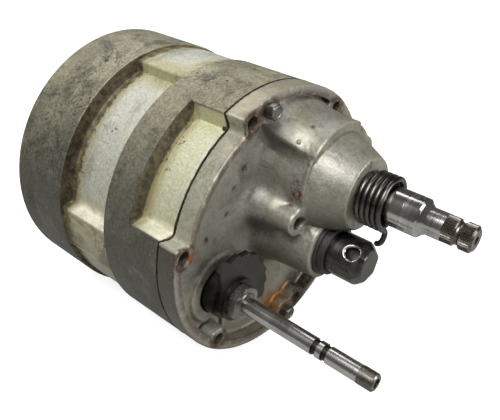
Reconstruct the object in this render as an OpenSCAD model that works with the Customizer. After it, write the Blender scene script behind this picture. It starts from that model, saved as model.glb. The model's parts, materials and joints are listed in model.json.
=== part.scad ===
// Drum gearbox with its outer cover taken off: a cylindrical casing clamped by its bands,
// four pairs of constant-mesh gears, a ratchet-worked selector drum and a kick-start shaft.
// Millimetres. +X runs along the drum towards the cover, +Z is up, and the origin is the
// centre of the joint face that the outer cover screws onto.

/* [Drum casing] */
// Radius of the two bands that the frame clamps
drum_r = 87.5; // [86:0.5:96]
// Length of the machined band at the closed end
rear_band_len = 46.3; // [40:0.1:60]
// Length of the cast waist between the bands
waist_len = 43; // [40:0.1:50]
// How far the waist lies below the bands
waist_drop = 1.5; // [0.5:0.1:4]
// Length of the front band, with the pocket in it
front_band_len = 45.6; // [42:0.1:60]
// Length of the pocket in the front band
front_pocket_len = 24.7; // [15:0.1:32]
// Depth of the pocket in the front band and in the cover
front_pocket_depth = 10.8; // [6:0.1:11.5]
// Depth of the pocket in the waist, below the bands
waist_pocket_depth = 8.75; // [6:0.05:9]
// Wall of the casing round its cavity
casing_wall = 4.6; // [3.5:0.1:5]
// Thickness of the closed end
end_wall = 9; // [8:0.5:12]

/* [Cover] */
// Thickness of the cover's rim
cover_rim_t = 13.2; // [12:0.1:14]
// How far the cover's face lies below its rim
face_depth = 9.5; // [8:0.1:10]
// Width of the cover's rim where there is no pocket
rim_w = 6; // [5:0.1:8]
// Thickness of the gasket under the cover
gasket_t = 0.6; // [0.3:0.1:1]
// How far the circle of screw holes lies in from the outside of the drum
screw_inset = 7; // [6.5:0.1:8]
// Radius of the screw holes
screw_hole_r = 3.95; // [3:0.05:4.2]
// Radius of the lugs round the screw holes
lug_r = 8; // [7:0.1:9]
// Width across flats of the two hexagon bolts that hold the cover
bolt_af = 10.4; // [9:0.1:11]

/* [Gear train] */
// Module of the four speed pairs
speed_module = 2.5; // [2.4:0.05:2.5]
// Teeth on the input shaft's gears, from first to fourth
input_teeth_1 = 13; // [12:1:14]
// Second
input_teeth_2 = 16; // [15:1:17]
// Third
input_teeth_3 = 18; // [17:1:19]
// Fourth
input_teeth_4 = 20; // [19:1:20]
// Teeth of a pair added together
pair_teeth = 47; // [46:1:47]
// Width of each speed gear
gear_w = 14; // [12:0.5:14]
// Play between the dogs of neighbouring gears in neutral
dog_gap = 1.4; // [1:0.1:1.6]
// Height of the dogs
dog_h = 2.8; // [2:0.1:3]

/* [Shafts] */
// Radius of the input and output shafts through their gears
shaft_r = 10; // [9.5:0.1:10]
// Radius of the input and output shafts in their front bearings
journal_r = 8.5; // [8:0.1:8.5]
// How far the input shaft stands out of the closed end
input_tail_len = 48; // [40:1:60]
// Radius of the clutch push rod
rod_r = 5.15; // [4.5:0.05:5.2]
// How far the push rod stands out of the cover
rod_reach = 104.1; // [80:0.1:120]
// Radius of the output coupling's nose
coupling_r = 13.7; // [12.5:0.1:13.9]
// Where the output coupling ends
coupling_end = 61.9; // [58:0.1:70]

/* [Kick-start] */
// Distance between the kick-start shaft and the output shaft
kick_module = 2; // [1.9:0.05:2]
// Teeth on the kick-start gear
kick_teeth = 26; // [25:1:26]
// Teeth on the pinion that it turns
pinion_teeth = 14; // [13:1:14]
// Radius of the kick-start shaft's polished journal
kick_journal_r = 11.5; // [11:0.1:12]
// Where the journal ends
kick_journal_end = 84.4; // [80:0.1:90]
// Radius of the kick-start shaft's lever seat, which its serrations don't pass
kick_spline_r = 8; // [7:0.1:9]
// Where the kick-start shaft ends
kick_end = 114.2; // [108:0.1:125]
// Radius of the return spring's wire
spring_wire_r = 1.65; // [1.2:0.05:1.8]
// Outside radius of the return spring
spring_r = 16.8; // [16.2:0.05:18]
// Turns of the return spring
spring_turns = 4.4; // [3:0.2:5]

/* [Selector] */
// Radius of the ratchet sector over its teeth
sector_r = 30.4; // [27:0.1:31]
// Thickness of the ratchet sector
sector_t = 3.8; // [3:0.1:4]
// Radius of the selector drum
selector_r = 12; // [11:0.1:12]
// Module of the selector's gears
selector_module = 2; // [1.9:0.05:2]
// Teeth on the selector sleeve
sleeve_teeth = 24; // [23:1:24]
// Teeth on the selector drum's gear
drum_teeth = 18; // [17:1:18]

/* [Fits] */
// Radial clearance of a shaft that turns in a bore
run_fit = 0.05; // [0.02:0.01:0.08]
// Side clearance of a selector fork in its groove
fork_play = 0.5; // [0.3:0.1:0.6]
// Clearance between pieces that pass each other
pass_gap = 0.4; // [0.3:0.1:0.6]
// Backlash of every gear pair, along the pitch circle
backlash = 0.35; // [0.25:0.05:0.45]

/* [Hidden] */
$fn = 96;

// ---- where things lie along the drum ----
cover_back_x = -cover_rim_t;
shell_front_x = cover_back_x - gasket_t;
front_pocket_x = shell_front_x - front_pocket_len;
waist_front_x = shell_front_x - front_band_len;
waist_rear_x = waist_front_x - waist_len;
shell_rear_x = waist_rear_x - rear_band_len;
end_inner_x = shell_rear_x + end_wall;
face_x = -face_depth;
waist_r = drum_r - waist_drop;
front_pocket_r = drum_r - front_pocket_depth;
waist_pocket_r = drum_r - waist_pocket_depth;
cavity_r = drum_r - casing_wall;
rim_inner_r = drum_r - rim_w;
pocket_wall = 4.2;
lug_depth = 22;
// Where the pockets start and end, as angles round the drum from +Y towards +Z
front_pocket_from = 111;
front_pocket_to = 163;
waist_pocket_from = 101;
waist_pocket_to = 173;
screw_angles = [for (i = [0:5]) 47 + 60 * i];
bolt_angles = [96.8, 277.3];
dowel_angles = [77, 187];
bolt_r = 3.6;
bolt_head_h = 4.6;
screw_circle_r = drum_r - screw_inset;

// ---- shaft axes, as [y, z] ----
function polar(r, a) = [r * cos(a), r * sin(a)];
function toward(from, to) = atan2(to[1] - from[1], to[0] - from[0]);
output_axis = [9.6, -7.4];
gear_centres = speed_module * pair_teeth / 2;
input_axis = output_axis + polar(gear_centres, 200.4);
kick_centres = kick_module * (kick_teeth + pinion_teeth) / 2;
kick_axis = output_axis + polar(kick_centres, 71.3);
selector_centres = selector_module * (sleeve_teeth + drum_teeth) / 2;
selector_axis = input_axis + polar(selector_centres, -46.2);

// ---- the gear train, from the closed end to the cover ----
bearing_gap = 2.8;
input_bearing_w = 14;
input_bearing_r = 23.5;
input_bearing_x = shell_rear_x + 4;
input_seal_r = 16;
output_rear_bearing_r = 20;
fourth_x = input_bearing_x + input_bearing_w + bearing_gap;
face_gap = 2 * dog_h + dog_gap;
third_x = fourth_x + gear_w + face_gap;
groove_w = 4.6;
flange_w = 3.4;
second_x = third_x + gear_w + groove_w + flange_w + face_gap;
first_x = second_x + gear_w + face_gap;
output_teeth_1 = pair_teeth - input_teeth_1;
output_teeth_2 = pair_teeth - input_teeth_2;
output_teeth_3 = pair_teeth - input_teeth_3;
output_teeth_4 = pair_teeth - input_teeth_4;
spline_r = shaft_r + 1.5;
bush_wall = 2.2;
input_dog_r = [12.8, 16.6];
output_dog_r = [14.4, 19.4];
input_groove_r = 13.6;
input_flange_r = 17.6;
output_groove_r = 20;
output_flange_r = 24;
input_groove_x = third_x + gear_w;
output_groove_x = second_x - groove_w;

// ---- kick-start ----
kick_gear_w = 10;
kick_gear_x = -5;
kick_cavity_end = 12;
ratchet_face_h = 3;
pinion_x = -8;
pinion_len = 21.6;
dome_axis = kick_axis + [2, 2];
dome_r = 33.7;
dome_step_x = 25;
dome_cone_r = 31.3;
dome_face_x = 47.7;
dome_face_r = 22.2;
dome_foot_r = 13;
boss_axis = [-10.2, 16];
boss_end_x = 23.5;
boss_hole_r = 4.25;
kick_bush_r = 14.5;

// ---- output end ----
front_bearing_x = 16;
front_bearing_w = 10;
front_bearing_r = 17.5;
seal_x = front_bearing_x + front_bearing_w + 3;
seal_end = 35;
seal_collar_end = 39.3;
coupling_x = front_bearing_x + front_bearing_w + 3.5;
output_boss_r = 20.6;

// ---- selector ----
sleeve_r = 15.4;
sleeve_gear_x = cover_back_x - 10.3;
selector_gear_w = 5;
sector_x = 2.4;
selector_rear_x = end_inner_x + 5.8;
selector_journal_r = 6;
fork_t = groove_w - fork_play;
fork_ring_r = 15;
fork_pin_r = 2.2;
track_depth = 3;

// ---- helpers ----
// Stands what is drawn on Z up along X, on the axis [y, z], from x
module on_axis(axis, x = 0) { translate([x, axis[0], axis[1]]) rotate([90, 0, 90]) children(); }
// A round bar on an axis, from x0 to x1
module bar(axis, r, x0, x1) { on_axis(axis, x0) cylinder(r = r, h = x1 - x0); }
// A cone on an axis, from radius r0 at x0 to r1 at x1
module taper(axis, r0, r1, x0, x1) { on_axis(axis, x0) cylinder(r1 = r0, r2 = r1, h = x1 - x0); }
// A plain ring on an axis
module ring(axis, r_out, r_in, x0, x1) {
    on_axis(axis, x0) difference() {
        cylinder(r = r_out, h = x1 - x0);
        translate([0, 0, -1]) cylinder(r = r_in, h = x1 - x0 + 2);
    }
}
// A piece of a ring between two angles
module sector_ring(axis, r_in, r_out, from, to, x0, x1) {
    on_axis(axis, x0) rotate([0, 0, from]) rotate_extrude(angle = to - from)
        translate([r_in, 0]) square([r_out - r_in, x1 - x0]);
}
// A round bar with a chamfer at each end
module chamfered_bar(axis, r, x0, x1, c0, c1) {
    on_axis(axis, x0) rotate_extrude() polygon([[0, 0], [r - c0, 0], [r, c0],
        [r, x1 - x0 - c1], [r - c1, x1 - x0], [0, x1 - x0]]);
}
// Six splines' keys, or with clearance the slots that take them
module spline_keys(axis, r_out, x0, x1, clearance = 0) {
    on_axis(axis, x0) intersection() {
        cylinder(r = r_out + clearance, h = x1 - x0);
        for (i = [0:5]) rotate([0, 0, 60 * i])
            translate([shaft_r / 2, -2.2 - clearance, -1])
                cube([r_out, 4.4 + 2 * clearance, x1 - x0 + 2]);
    }
}
// Dogs on the face of a gear, four round the shaft
module dogs(axis, radii, x0, x1, turn = 0) {
    for (i = [0:3])
        sector_ring(axis, radii[0], radii[1], turn + 90 * i - 14, turn + 90 * i + 14, x0, x1);
}
// How far a dog or a face tooth is rooted in its gear
root_in = 1;

// ---- gear outlines ----
pressure_angle = 25;
addendum_k = 0.8;
dedendum_k = 1.05;
function involute(r, base) = r <= base ? 0 :
    let(a = acos(base / r)) tan(a) * 180 / PI - a;
// Half the angle that a tooth takes up at radius r
function tooth_half(r, teeth, mod) =
    let(pitch = mod * teeth / 2, base = pitch * cos(pressure_angle))
    (PI * mod / 2 - backlash) / (2 * pitch) * 180 / PI
        + involute(pitch, base) - involute(r, base);
// Tip radius of a gear
function tip_r(teeth, mod) = mod * (teeth / 2 + addendum_k);
// Outline of a spur gear, with a tooth centred on angle zero
function gear_outline(teeth, mod) =
    let(pitch = mod * teeth / 2, root = pitch - dedendum_k * mod,
        radii = [root, pitch, tip_r(teeth, mod)])
    [for (i = [0:teeth - 1]) each concat(
        [for (r = radii) polar(r, 360 * i / teeth - tooth_half(r, teeth, mod))],
        [for (k = [2, 1, 0]) polar(radii[k], 360 * i / teeth + tooth_half(radii[k], teeth, mod))])];
// A spur gear on an axis, with a tooth at the angle turn
module gear(axis, teeth, mod, turn, x0, x1) {
    on_axis(axis, x0) rotate([0, 0, turn]) linear_extrude(height = x1 - x0)
        polygon(gear_outline(teeth, mod));
}
// In each pair one gear points a tooth, and the other a gap, at its mate
module driving_gear(axis, mate, teeth, mod, x0, x1) {
    gear(axis, teeth, mod, toward(axis, mate), x0, x1);
}
module driven_gear(axis, mate, teeth, mod, x0, x1) {
    gear(axis, teeth, mod, toward(axis, mate) + 180 / teeth, x0, x1);
}
// Saw teeth on the end of a ring, for the kick-start ratchet: slanting slabs cut a straight
// wall and a ramp out of it, six times round
module ratchet_face(axis, r_in, r_out, x0, height) {
    ramp = 0.9 * PI * (r_in + r_out) / 6;
    on_axis(axis, x0) difference() {
        translate([0, 0, -1]) cylinder(r = r_out, h = height + 1);
        translate([0, 0, -2]) cylinder(r = r_in, h = height + 3);
        for (i = [0:5]) rotate([0, 0, 60 * i]) translate([0, 0, 0.1]) rotate([atan(height / ramp), 0, 0])
            cube([r_out + 2, ramp * 1.3, height * 3]);
    }
}

// ---- bearings ----
groove_clear = 0.3;
// Outer or inner ring of a ball bearing, with its ball groove
module bearing_ring(axis, r_out, r_in, x0, w, mean_r, ball_r) {
    difference() {
        ring(axis, r_out, r_in, x0, x0 + w);
        on_axis(axis, x0 + w / 2) rotate_extrude() translate([mean_r, 0])
            circle(r = ball_r + groove_clear, $fn = 48);
    }
}
module bearing_balls(axis, x0, w, mean_r, ball_r, count) {
    for (i = [0:count - 1])
        on_axis(axis, x0 + w / 2) rotate([0, 0, 360 * i / count]) translate([mean_r, 0, 0])
            sphere(r = ball_r, $fn = 48);
}
// Ball circle and ball size that suit a bearing of these radii
function ball_circle(r_out, r_in) = (r_out + r_in) / 2;
function ball_size(r_out, r_in) = (r_out - r_in) * 0.27;
function race_wall(r_out, r_in) = (r_out - r_in) * 0.31;
module outer_race(axis, r_out, r_in, x0, w) {
    bearing_ring(axis, r_out, r_out - race_wall(r_out, r_in), x0, w,
        ball_circle(r_out, r_in), ball_size(r_out, r_in));
}
module inner_race(axis, r_out, r_in, x0, w) {
    bearing_ring(axis, r_in + race_wall(r_out, r_in), r_in, x0, w,
        ball_circle(r_out, r_in), ball_size(r_out, r_in));
}
module ball_set(axis, r_out, r_in, x0, w) {
    bearing_balls(axis, x0, w, ball_circle(r_out, r_in), ball_size(r_out, r_in), 9);
}

// ---- casing ----
// A lug's round bar, trimmed to the drum
module lug_bars(angles, r, x0, x1) {
    intersection() {
        bar([0, 0], drum_r, x0, x1);
        for (a = angles) bar(polar(screw_circle_r, a), r, x0, x1);
    }
}
module hole_bars(angles, r, x0, x1) {
    for (a = angles) bar(polar(screw_circle_r, a), r, x0, x1);
}
// What the front pocket takes away, up to the lugs at its two ends
module front_pocket(x0, x1) {
    sector_ring([0, 0], front_pocket_r, drum_r + 2, front_pocket_from, front_pocket_to, x0, x1);
}
module shell_cavity() {
    difference() {
        bar([0, 0], cavity_r, end_inner_x, shell_front_x + 1);
        sector_ring([0, 0], waist_pocket_r - pocket_wall, drum_r,
            waist_pocket_from - 3, waist_pocket_to + 3, end_inner_x, waist_front_x + pocket_wall);
        sector_ring([0, 0], front_pocket_r - pocket_wall, drum_r,
            front_pocket_from - 3, front_pocket_to + 3, waist_front_x, shell_front_x + 1);
        lug_bars(screw_angles, lug_r, shell_front_x - lug_depth, shell_front_x + 1);
        lug_bars(concat(bolt_angles, dowel_angles), lug_r - 1,
            shell_front_x - lug_depth, shell_front_x + 1);
        bar(input_axis, input_bearing_r + 4.5, end_inner_x, input_bearing_x + input_bearing_w);
        bar(output_axis, input_bearing_r + 1, end_inner_x, end_inner_x + 8);
        bar(selector_axis, selector_journal_r + 4, end_inner_x, selector_rear_x - 0.4);
    }
}
module gearbox_shell() {
    color("#8d8a7c") difference() {
        union() {
            chamfered_bar([0, 0], drum_r, shell_rear_x, waist_rear_x, 1.5, 0.4);
            bar([0, 0], waist_r, waist_rear_x, waist_front_x);
            chamfered_bar([0, 0], drum_r, waist_front_x, shell_front_x, 0.4, 0.2);
            // Rounded raised ring round the input shaft on the closed end
            taper(input_axis, input_seal_r + 6, input_seal_r + 9, shell_rear_x - 3, shell_rear_x);
        }
        sector_ring([0, 0], waist_pocket_r, drum_r + 2, waist_pocket_from, waist_pocket_to,
            waist_rear_x, waist_front_x);
        front_pocket(front_pocket_x, shell_front_x + 1);
        shell_cavity();
        hole_bars(screw_angles, screw_hole_r, shell_front_x - lug_depth + 4, shell_front_x + 1);
        hole_bars(bolt_angles, bolt_r, shell_front_x - lug_depth + 4, shell_front_x + 1);
        hole_bars(dowel_angles, bolt_r, shell_front_x - 6, shell_front_x + 1);
        // Seats for the input bearing and its oil seal, and the way out for the shaft
        bar(input_axis, input_bearing_r, input_bearing_x, input_bearing_x + input_bearing_w + 1);
        bar(input_axis, input_seal_r, shell_rear_x - 4, input_bearing_x + 1);
        // Room for the selector sleeve's gear beside the lugs
        bar(input_axis, tip_r(sleeve_teeth, selector_module) + 1, sleeve_gear_x - 2.5, shell_front_x + 1);
        // Blind seats for the output shaft's bearing and the selector drum's journal
        bar(output_axis, output_rear_bearing_r, output_rear_bearing_x, end_inner_x + 9);
        bar(selector_axis, selector_journal_r + run_fit, selector_rear_x - 9, selector_rear_x + 1);
    }
}

// ---- cover ----
// The dome's skirt: a steep flank from its shoulder down to the rim at the top, cut off on
// the left by an upright wall and scooped out round the upper right lug
module dome_skirt() {
    intersection() {
        bar([0, 0], rim_inner_r + 1, face_x - 2, dome_step_x);
        difference() {
            on_axis(dome_axis, face_x - 1) rotate([0, 0, 22]) rotate_extrude(angle = 140)
                polygon([[20, 0], [62, 0], [59, 1.8], [52.5, 5], [48.4, 9.8], [34.2, 34.3], [20, 34.3]]);
            on_axis([0.2, 55.9], face_x - 2) rotate([0, 0, 112.8]) translate([-60, 0, 0])
                cube([120, 60, 60]);
            bar(polar(screw_circle_r, screw_angles[0]), lug_r + 3, -1.2, dome_step_x + 1);
        }
    }
}
// Hollow fillet round the dome's foot
module dome_foot() {
    intersection() {
        bar([0, 0], rim_inner_r + 1, face_x - 2, dome_step_x);
        on_axis(dome_axis, face_x) rotate_extrude() difference() {
            translate([dome_r - 4, -1]) square([dome_foot_r + 3.5, dome_foot_r + 0.8]);
            translate([dome_r + dome_foot_r - 0.5, dome_foot_r]) circle(r = dome_foot_r);
        }
    }
}
module cover_solid() {
    difference() {
        bar([0, 0], drum_r, cover_back_x, 0);
        // The sunk face stops short of the wall that follows the pocket
        difference() {
            bar([0, 0], rim_inner_r, face_x, 1);
            sector_ring([0, 0], front_pocket_r - pocket_wall, drum_r + 1,
                front_pocket_from - 3, front_pocket_to + 3, face_x - 1, 2);
        }
    }
    lug_bars(screw_angles, lug_r, cover_back_x, 0);
    lug_bars(bolt_angles, lug_r, cover_back_x, 0);
    lug_bars(dowel_angles, lug_r - 1, cover_back_x, face_x + 2);
    // The kick-start dome: a round wall with a thin lip, and a cone up to the spring's seat
    bar(dome_axis, dome_r - 0.6, cover_back_x + 0.5, dome_step_x - 1);
    bar(dome_axis, dome_r, dome_step_x - 1.6, dome_step_x);
    taper(kick_axis, dome_cone_r, dome_face_r, dome_step_x - 0.1, dome_face_x);
    dome_skirt();
    dome_foot();
    // Boss of the output shaft, flared at its foot
    taper(output_axis, output_boss_r + 7, output_boss_r + 2, cover_back_x + 0.5, 4);
    taper(output_axis, output_boss_r + 2, output_boss_r, 3.9, seal_end - 2);
    // Boss with the blind hole, on the dome's flank
    taper(boss_axis, 9.6, 8.4, face_x - 1, boss_end_x);
    // Raised ring round the selector sleeve
    taper(input_axis, sleeve_r + 9, sleeve_r + 6.4, face_x - 1, face_x + 2.2);
    // Inner bosses that carry the selector drum and sleeve
    bar(selector_axis, selector_journal_r + 4, cover_back_x - 4.6, face_x - 1);
    bar(input_axis, sleeve_r + 4, cover_back_x - 4.6, face_x - 1);
}
module inner_cover() {
    color("#a3a29a") difference() {
        cover_solid();
        front_pocket(cover_back_x - 1, 1);
        hole_bars(screw_angles, screw_hole_r, cover_back_x - 1, 1);
        hole_bars(bolt_angles, bolt_r, cover_back_x - 1, 1);
        hole_bars(dowel_angles, bolt_r, cover_back_x - 1, cover_back_x + 6);
        // Shallow round recess about the lower left lug
        intersection() {
            bar([0, 0], rim_inner_r - 1, face_x - 1.9, 1);
            ring(polar(screw_circle_r, 227), lug_r + 4.5, lug_r, face_x - 1.9, face_x + 1);
        }
        // Room inside the dome for the kick-start gear, and round its pinion
        bar(kick_axis, tip_r(kick_teeth, kick_module) + 1, cover_back_x - 1, kick_cavity_end);
        bar(output_axis, tip_r(pinion_teeth, kick_module) + 1.2, cover_back_x - 1, front_bearing_x - 2);
        bar(output_axis, journal_r + 1.5, 0, front_bearing_x + 1);
        bar(output_axis, front_bearing_r, front_bearing_x, seal_end);
        bar(output_axis, front_bearing_r - 1.2, seal_end - 1, dome_face_x);
        bar(kick_axis, kick_bush_r, kick_cavity_end - 1, dome_face_x + 1);
        // Bore and mouth for the selector sleeve
        bar(input_axis, sleeve_r + run_fit, cover_back_x - 6, 1);
        bar(input_axis, sleeve_r + 0.9, face_x - 2, 1);
        bar(selector_axis, selector_journal_r + run_fit, cover_back_x - 6, face_x - 2.2);
        bar(boss_axis, boss_hole_r, boss_end_x - 15.5, boss_end_x + 1);
    }
}
module cover_gasket() {
    color("#1d1c1a") difference() {
        union() {
            ring([0, 0], drum_r, cavity_r, shell_front_x, cover_back_x);
            lug_bars(screw_angles, lug_r, shell_front_x, cover_back_x);
            lug_bars(concat(bolt_angles, dowel_angles), lug_r - 1, shell_front_x, cover_back_x);
            sector_ring([0, 0], front_pocket_r - pocket_wall, drum_r,
                front_pocket_from - 3, front_pocket_to + 3, shell_front_x, cover_back_x);
        }
        front_pocket(shell_front_x - 1, cover_back_x + 1);
        hole_bars(screw_angles, screw_hole_r, shell_front_x - 1, cover_back_x + 1);
        hole_bars(concat(bolt_angles, dowel_angles), bolt_r, shell_front_x - 1, cover_back_x + 1);
    }
}
module cover_bolts() {
    color("#6f6c64") for (a = bolt_angles) {
        bar(polar(screw_circle_r, a), bolt_r, shell_front_x - lug_depth + 5, 0.5);
        on_axis(polar(screw_circle_r, a)) rotate([0, 0, a + 30])
            cylinder(r = bolt_af / 2 / cos(30), h = bolt_head_h, $fn = 6);
        bar(polar(screw_circle_r, a), bolt_af / 2 - 0.4, bolt_head_h - 0.5, bolt_head_h + 0.4);
    }
}
module cover_dowels() {
    color("#9a988f") for (a = dowel_angles)
        ring(polar(screw_circle_r, a), bolt_r, bolt_r - 1.2, shell_front_x - 5.8, cover_back_x + 5.8);
}
module kickstart_bush() {
    color("#a98a4e")
        ring(kick_axis, kick_bush_r, kick_journal_r + run_fit, kick_cavity_end, dome_face_x - 1.5);
}
module input_oil_seal() {
    color("#2b2a29") difference() {
        ring(input_axis, input_seal_r, shaft_r + run_fit, shell_rear_x - 2.6, input_bearing_x);
        ring(input_axis, input_seal_r - 1.5, shaft_r + 2, shell_rear_x - 3, shell_rear_x - 0.5);
    }
}
module output_oil_seal() {
    color("#222120") difference() {
        union() {
            bar(output_axis, front_bearing_r, seal_x, seal_end);
            chamfered_bar(output_axis, front_bearing_r - 1.7, seal_end, seal_collar_end, 0.1, 0.6);
        }
        bar(output_axis, coupling_r + run_fit, seal_x - 1, seal_collar_end + 1);
    }
}
// A torsion spring's wire, swept round its helix, with a leg bent off at the front
spring_sides = 10;
spring_steps = 26;
spring_coil_r = spring_r - spring_wire_r;
spring_pitch = 2 * spring_wire_r + 0.1;
spring_end_angle = 236;
function coil_point(t) =
    let(a = spring_end_angle - 360 * (spring_turns - t), p = polar(spring_coil_r, a))
    [dome_face_x + spring_wire_r + 0.2 + spring_pitch * t, kick_axis[0] + p[0], kick_axis[1] + p[1]];
// The leg leaves the last turn straight, then bends in a hook
leg_start = coil_point(spring_turns);
spring_leg = [leg_start + [0.2, 2.2, -1.4], leg_start + [0.2, 3.2, -3.6], leg_start + [0, 3, -6.4],
    leg_start + [-0.4, 2.2, -9.2], leg_start + [-1.8, 1.8, -11.4], leg_start + [-4, 2.4, -12.6]];
spring_path = concat([for (i = [0:round(spring_turns * spring_steps)]) coil_point(i / spring_steps)],
    spring_leg);
function unit(v) = v / norm(v);
function path_dir(path, i) = unit(path[min(i + 1, len(path) - 1)] - path[max(i - 1, 0)]);
// Points of one round of the wire, square to its run
function wire_round(path, i) =
    let(d = path_dir(path, i), side = unit(cross(d, [1, 0, 0.001])), up = cross(side, d))
    [for (k = [0:spring_sides - 1]) let(a = 360 * k / spring_sides)
        path[i] + spring_wire_r * (cos(a) * side + sin(a) * up)];
module wire(path) {
    n = len(path);
    points = [for (i = [0:n - 1]) each wire_round(path, i)];
    walls = [for (i = [0:n - 2]) for (k = [0:spring_sides - 1])
        let(a = i * spring_sides, b = a + spring_sides, k2 = (k + 1) % spring_sides)
        [a + k, a + k2, b + k2, b + k]];
    caps = [[for (k = [spring_sides - 1:-1:0]) k],
        [for (k = [0:spring_sides - 1]) (n - 1) * spring_sides + k]];
    polyhedron(points, concat(walls, caps));
}
module kickstart_return_spring() { color("#3b3a38") wire(spring_path); }

// ---- input shaft ----
input_nose_x = 14.9;
washer_x = sector_x + sector_t + 0.2;
washer_t = 2.2;
module input_shaft() {
    color("#7d7c78") difference() {
        union() {
            chamfered_bar(input_axis, shaft_r, shell_rear_x - 6, -30, 0.5, 0.5);
            bar(input_axis, shaft_r - 0.5, shell_rear_x - 14, shell_rear_x - 5);
            chamfered_bar(input_axis, shaft_r - 1, shell_rear_x - input_tail_len + 8, shell_rear_x - 13, 0.3, 0.1);
            bar(input_axis, journal_r, -30.5, washer_x);
            chamfered_bar(input_axis, journal_r - 1, washer_x, input_nose_x, 0.1, 1);
            chamfered_bar(input_axis, shaft_r - 2.2, shell_rear_x - input_tail_len,
                shell_rear_x - input_tail_len + 8, 1, 0.1);
            spline_keys(input_axis, spline_r, third_x - dog_h - 2.2,
                third_x + gear_w + groove_w + flange_w + dog_h + 3);
        }
        bar(input_axis, rod_r + run_fit, shell_rear_x - input_tail_len - 1, input_nose_x + 1);
        // The clutch end is cut with splines, short of the plain seat
        for (i = [0:7]) on_axis(input_axis, shell_rear_x - input_tail_len + 7)
            rotate([0, 0, 45 * i]) translate([shaft_r - 2.4, -1.6, 0]) cube([3, 3.2, 25]);
    }
}
module input_bearing_outer() {
    color("#8b8b88") outer_race(input_axis, input_bearing_r, shaft_r, input_bearing_x, input_bearing_w);
}
module input_bearing_inner() {
    color("#8b8b88") inner_race(input_axis, input_bearing_r, shaft_r, input_bearing_x, input_bearing_w);
}
module input_bearing_balls() {
    color("#b9b9b7") ball_set(input_axis, input_bearing_r, shaft_r, input_bearing_x, input_bearing_w);
}
module input_first_gear() {
    color("#5f5e5b") difference() {
        driving_gear(input_axis, output_axis, input_teeth_1, speed_module, first_x, first_x + gear_w);
        bar(input_axis, shaft_r, first_x - 1, first_x + gear_w + 1);
    }
}
module input_second_gear() {
    color("#5f5e5b") difference() {
        union() {
            driving_gear(input_axis, output_axis, input_teeth_2, speed_module, second_x, second_x + gear_w);
            dogs(input_axis, input_dog_r, second_x - dog_h, second_x + root_in, 45);
        }
        bar(input_axis, shaft_r + bush_wall, second_x - 1, second_x + gear_w + 1);
    }
}
module input_second_bush() {
    color("#a98a4e") ring(input_axis, shaft_r + bush_wall, shaft_r + run_fit, second_x, second_x + gear_w);
}
module input_third_gear() {
    color("#5f5e5b") difference() {
        union() {
            driving_gear(input_axis, output_axis, input_teeth_3, speed_module, third_x, third_x + gear_w);
            bar(input_axis, input_groove_r, input_groove_x, input_groove_x + groove_w);
            bar(input_axis, input_flange_r, input_groove_x + groove_w, input_groove_x + groove_w + flange_w);
            dogs(input_axis, input_dog_r, third_x - dog_h, third_x + root_in);
            dogs(input_axis, input_dog_r, input_groove_x + groove_w + flange_w - root_in,
                input_groove_x + groove_w + flange_w + dog_h);
        }
        bar(input_axis, shaft_r + run_fit, third_x - dog_h - 1, second_x);
        spline_keys(input_axis, spline_r, third_x - dog_h - 1, second_x, run_fit);
    }
}
module input_fourth_gear() {
    color("#5f5e5b") difference() {
        union() {
            driving_gear(input_axis, output_axis, input_teeth_4, speed_module, fourth_x, fourth_x + gear_w);
            dogs(input_axis, input_dog_r, fourth_x + gear_w - root_in, fourth_x + gear_w + dog_h, 45);
        }
        bar(input_axis, shaft_r + bush_wall, fourth_x - 1, fourth_x + gear_w + 1);
    }
}
module input_fourth_bush() {
    color("#a98a4e") ring(input_axis, shaft_r + bush_wall, shaft_r + run_fit, fourth_x, fourth_x + gear_w);
}
module input_washer() {
    color("#55534f") ring(input_axis, coupling_r, journal_r - 1, washer_x, washer_x + washer_t);
}
input_nut_af = 20.4;
input_nut_t = 5.6;
module input_nut() {
    color("#8f8e8a") difference() {
        intersection() {
            on_axis(input_axis, washer_x + washer_t) rotate([0, 0, 19])
                cylinder(r = input_nut_af / 2 / cos(30), h = input_nut_t, $fn = 6);
            chamfered_bar(input_axis, input_nut_af / 2 / cos(30), washer_x + washer_t,
                washer_x + washer_t + input_nut_t, 1, 1.2);
        }
        bar(input_axis, journal_r - 1, washer_x, washer_x + washer_t + input_nut_t + 1);
    }
}

// ---- output shaft ----
output_rear_bearing_x = shell_rear_x + 4.8;
output_rear_bearing_w = 12;
cross_hole_x = 54;
cross_hole_angle = 126.6;
cross_hole_r = 4;
module cross_hole() {
    on_axis(output_axis, cross_hole_x) rotate([0, 0, cross_hole_angle]) rotate([0, 90, 0])
        cylinder(r = cross_hole_r, h = 4 * coupling_r, center = true);
}
module output_shaft() {
    color("#7d7c78") difference() {
        union() {
            chamfered_bar(output_axis, journal_r, output_rear_bearing_x,
                output_rear_bearing_x + output_rear_bearing_w, 0.6, 0.1);
            bar(output_axis, shaft_r, output_rear_bearing_x + output_rear_bearing_w, cover_back_x + 0.2);
            chamfered_bar(output_axis, journal_r, cover_back_x - 0.3, coupling_end - 6, 0.1, 0.6);
            spline_keys(output_axis, spline_r, second_x - groove_w - flange_w - dog_h - 1.2,
                second_x + gear_w + dog_h + 1.2);
        }
        cross_hole();
    }
}
module output_rear_bearing_outer() {
    color("#8b8b88") outer_race(output_axis, output_rear_bearing_r, journal_r, output_rear_bearing_x, output_rear_bearing_w);
}
module output_rear_bearing_inner() {
    color("#8b8b88") inner_race(output_axis, output_rear_bearing_r, journal_r, output_rear_bearing_x, output_rear_bearing_w);
}
module output_rear_bearing_balls() {
    color("#b9b9b7") ball_set(output_axis, output_rear_bearing_r, journal_r, output_rear_bearing_x, output_rear_bearing_w);
}
module output_front_bearing_outer() {
    color("#8b8b88")
        outer_race(output_axis, front_bearing_r, journal_r, front_bearing_x, front_bearing_w);
}
module output_front_bearing_inner() {
    color("#8b8b88")
        inner_race(output_axis, front_bearing_r, journal_r, front_bearing_x, front_bearing_w);
}
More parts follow.
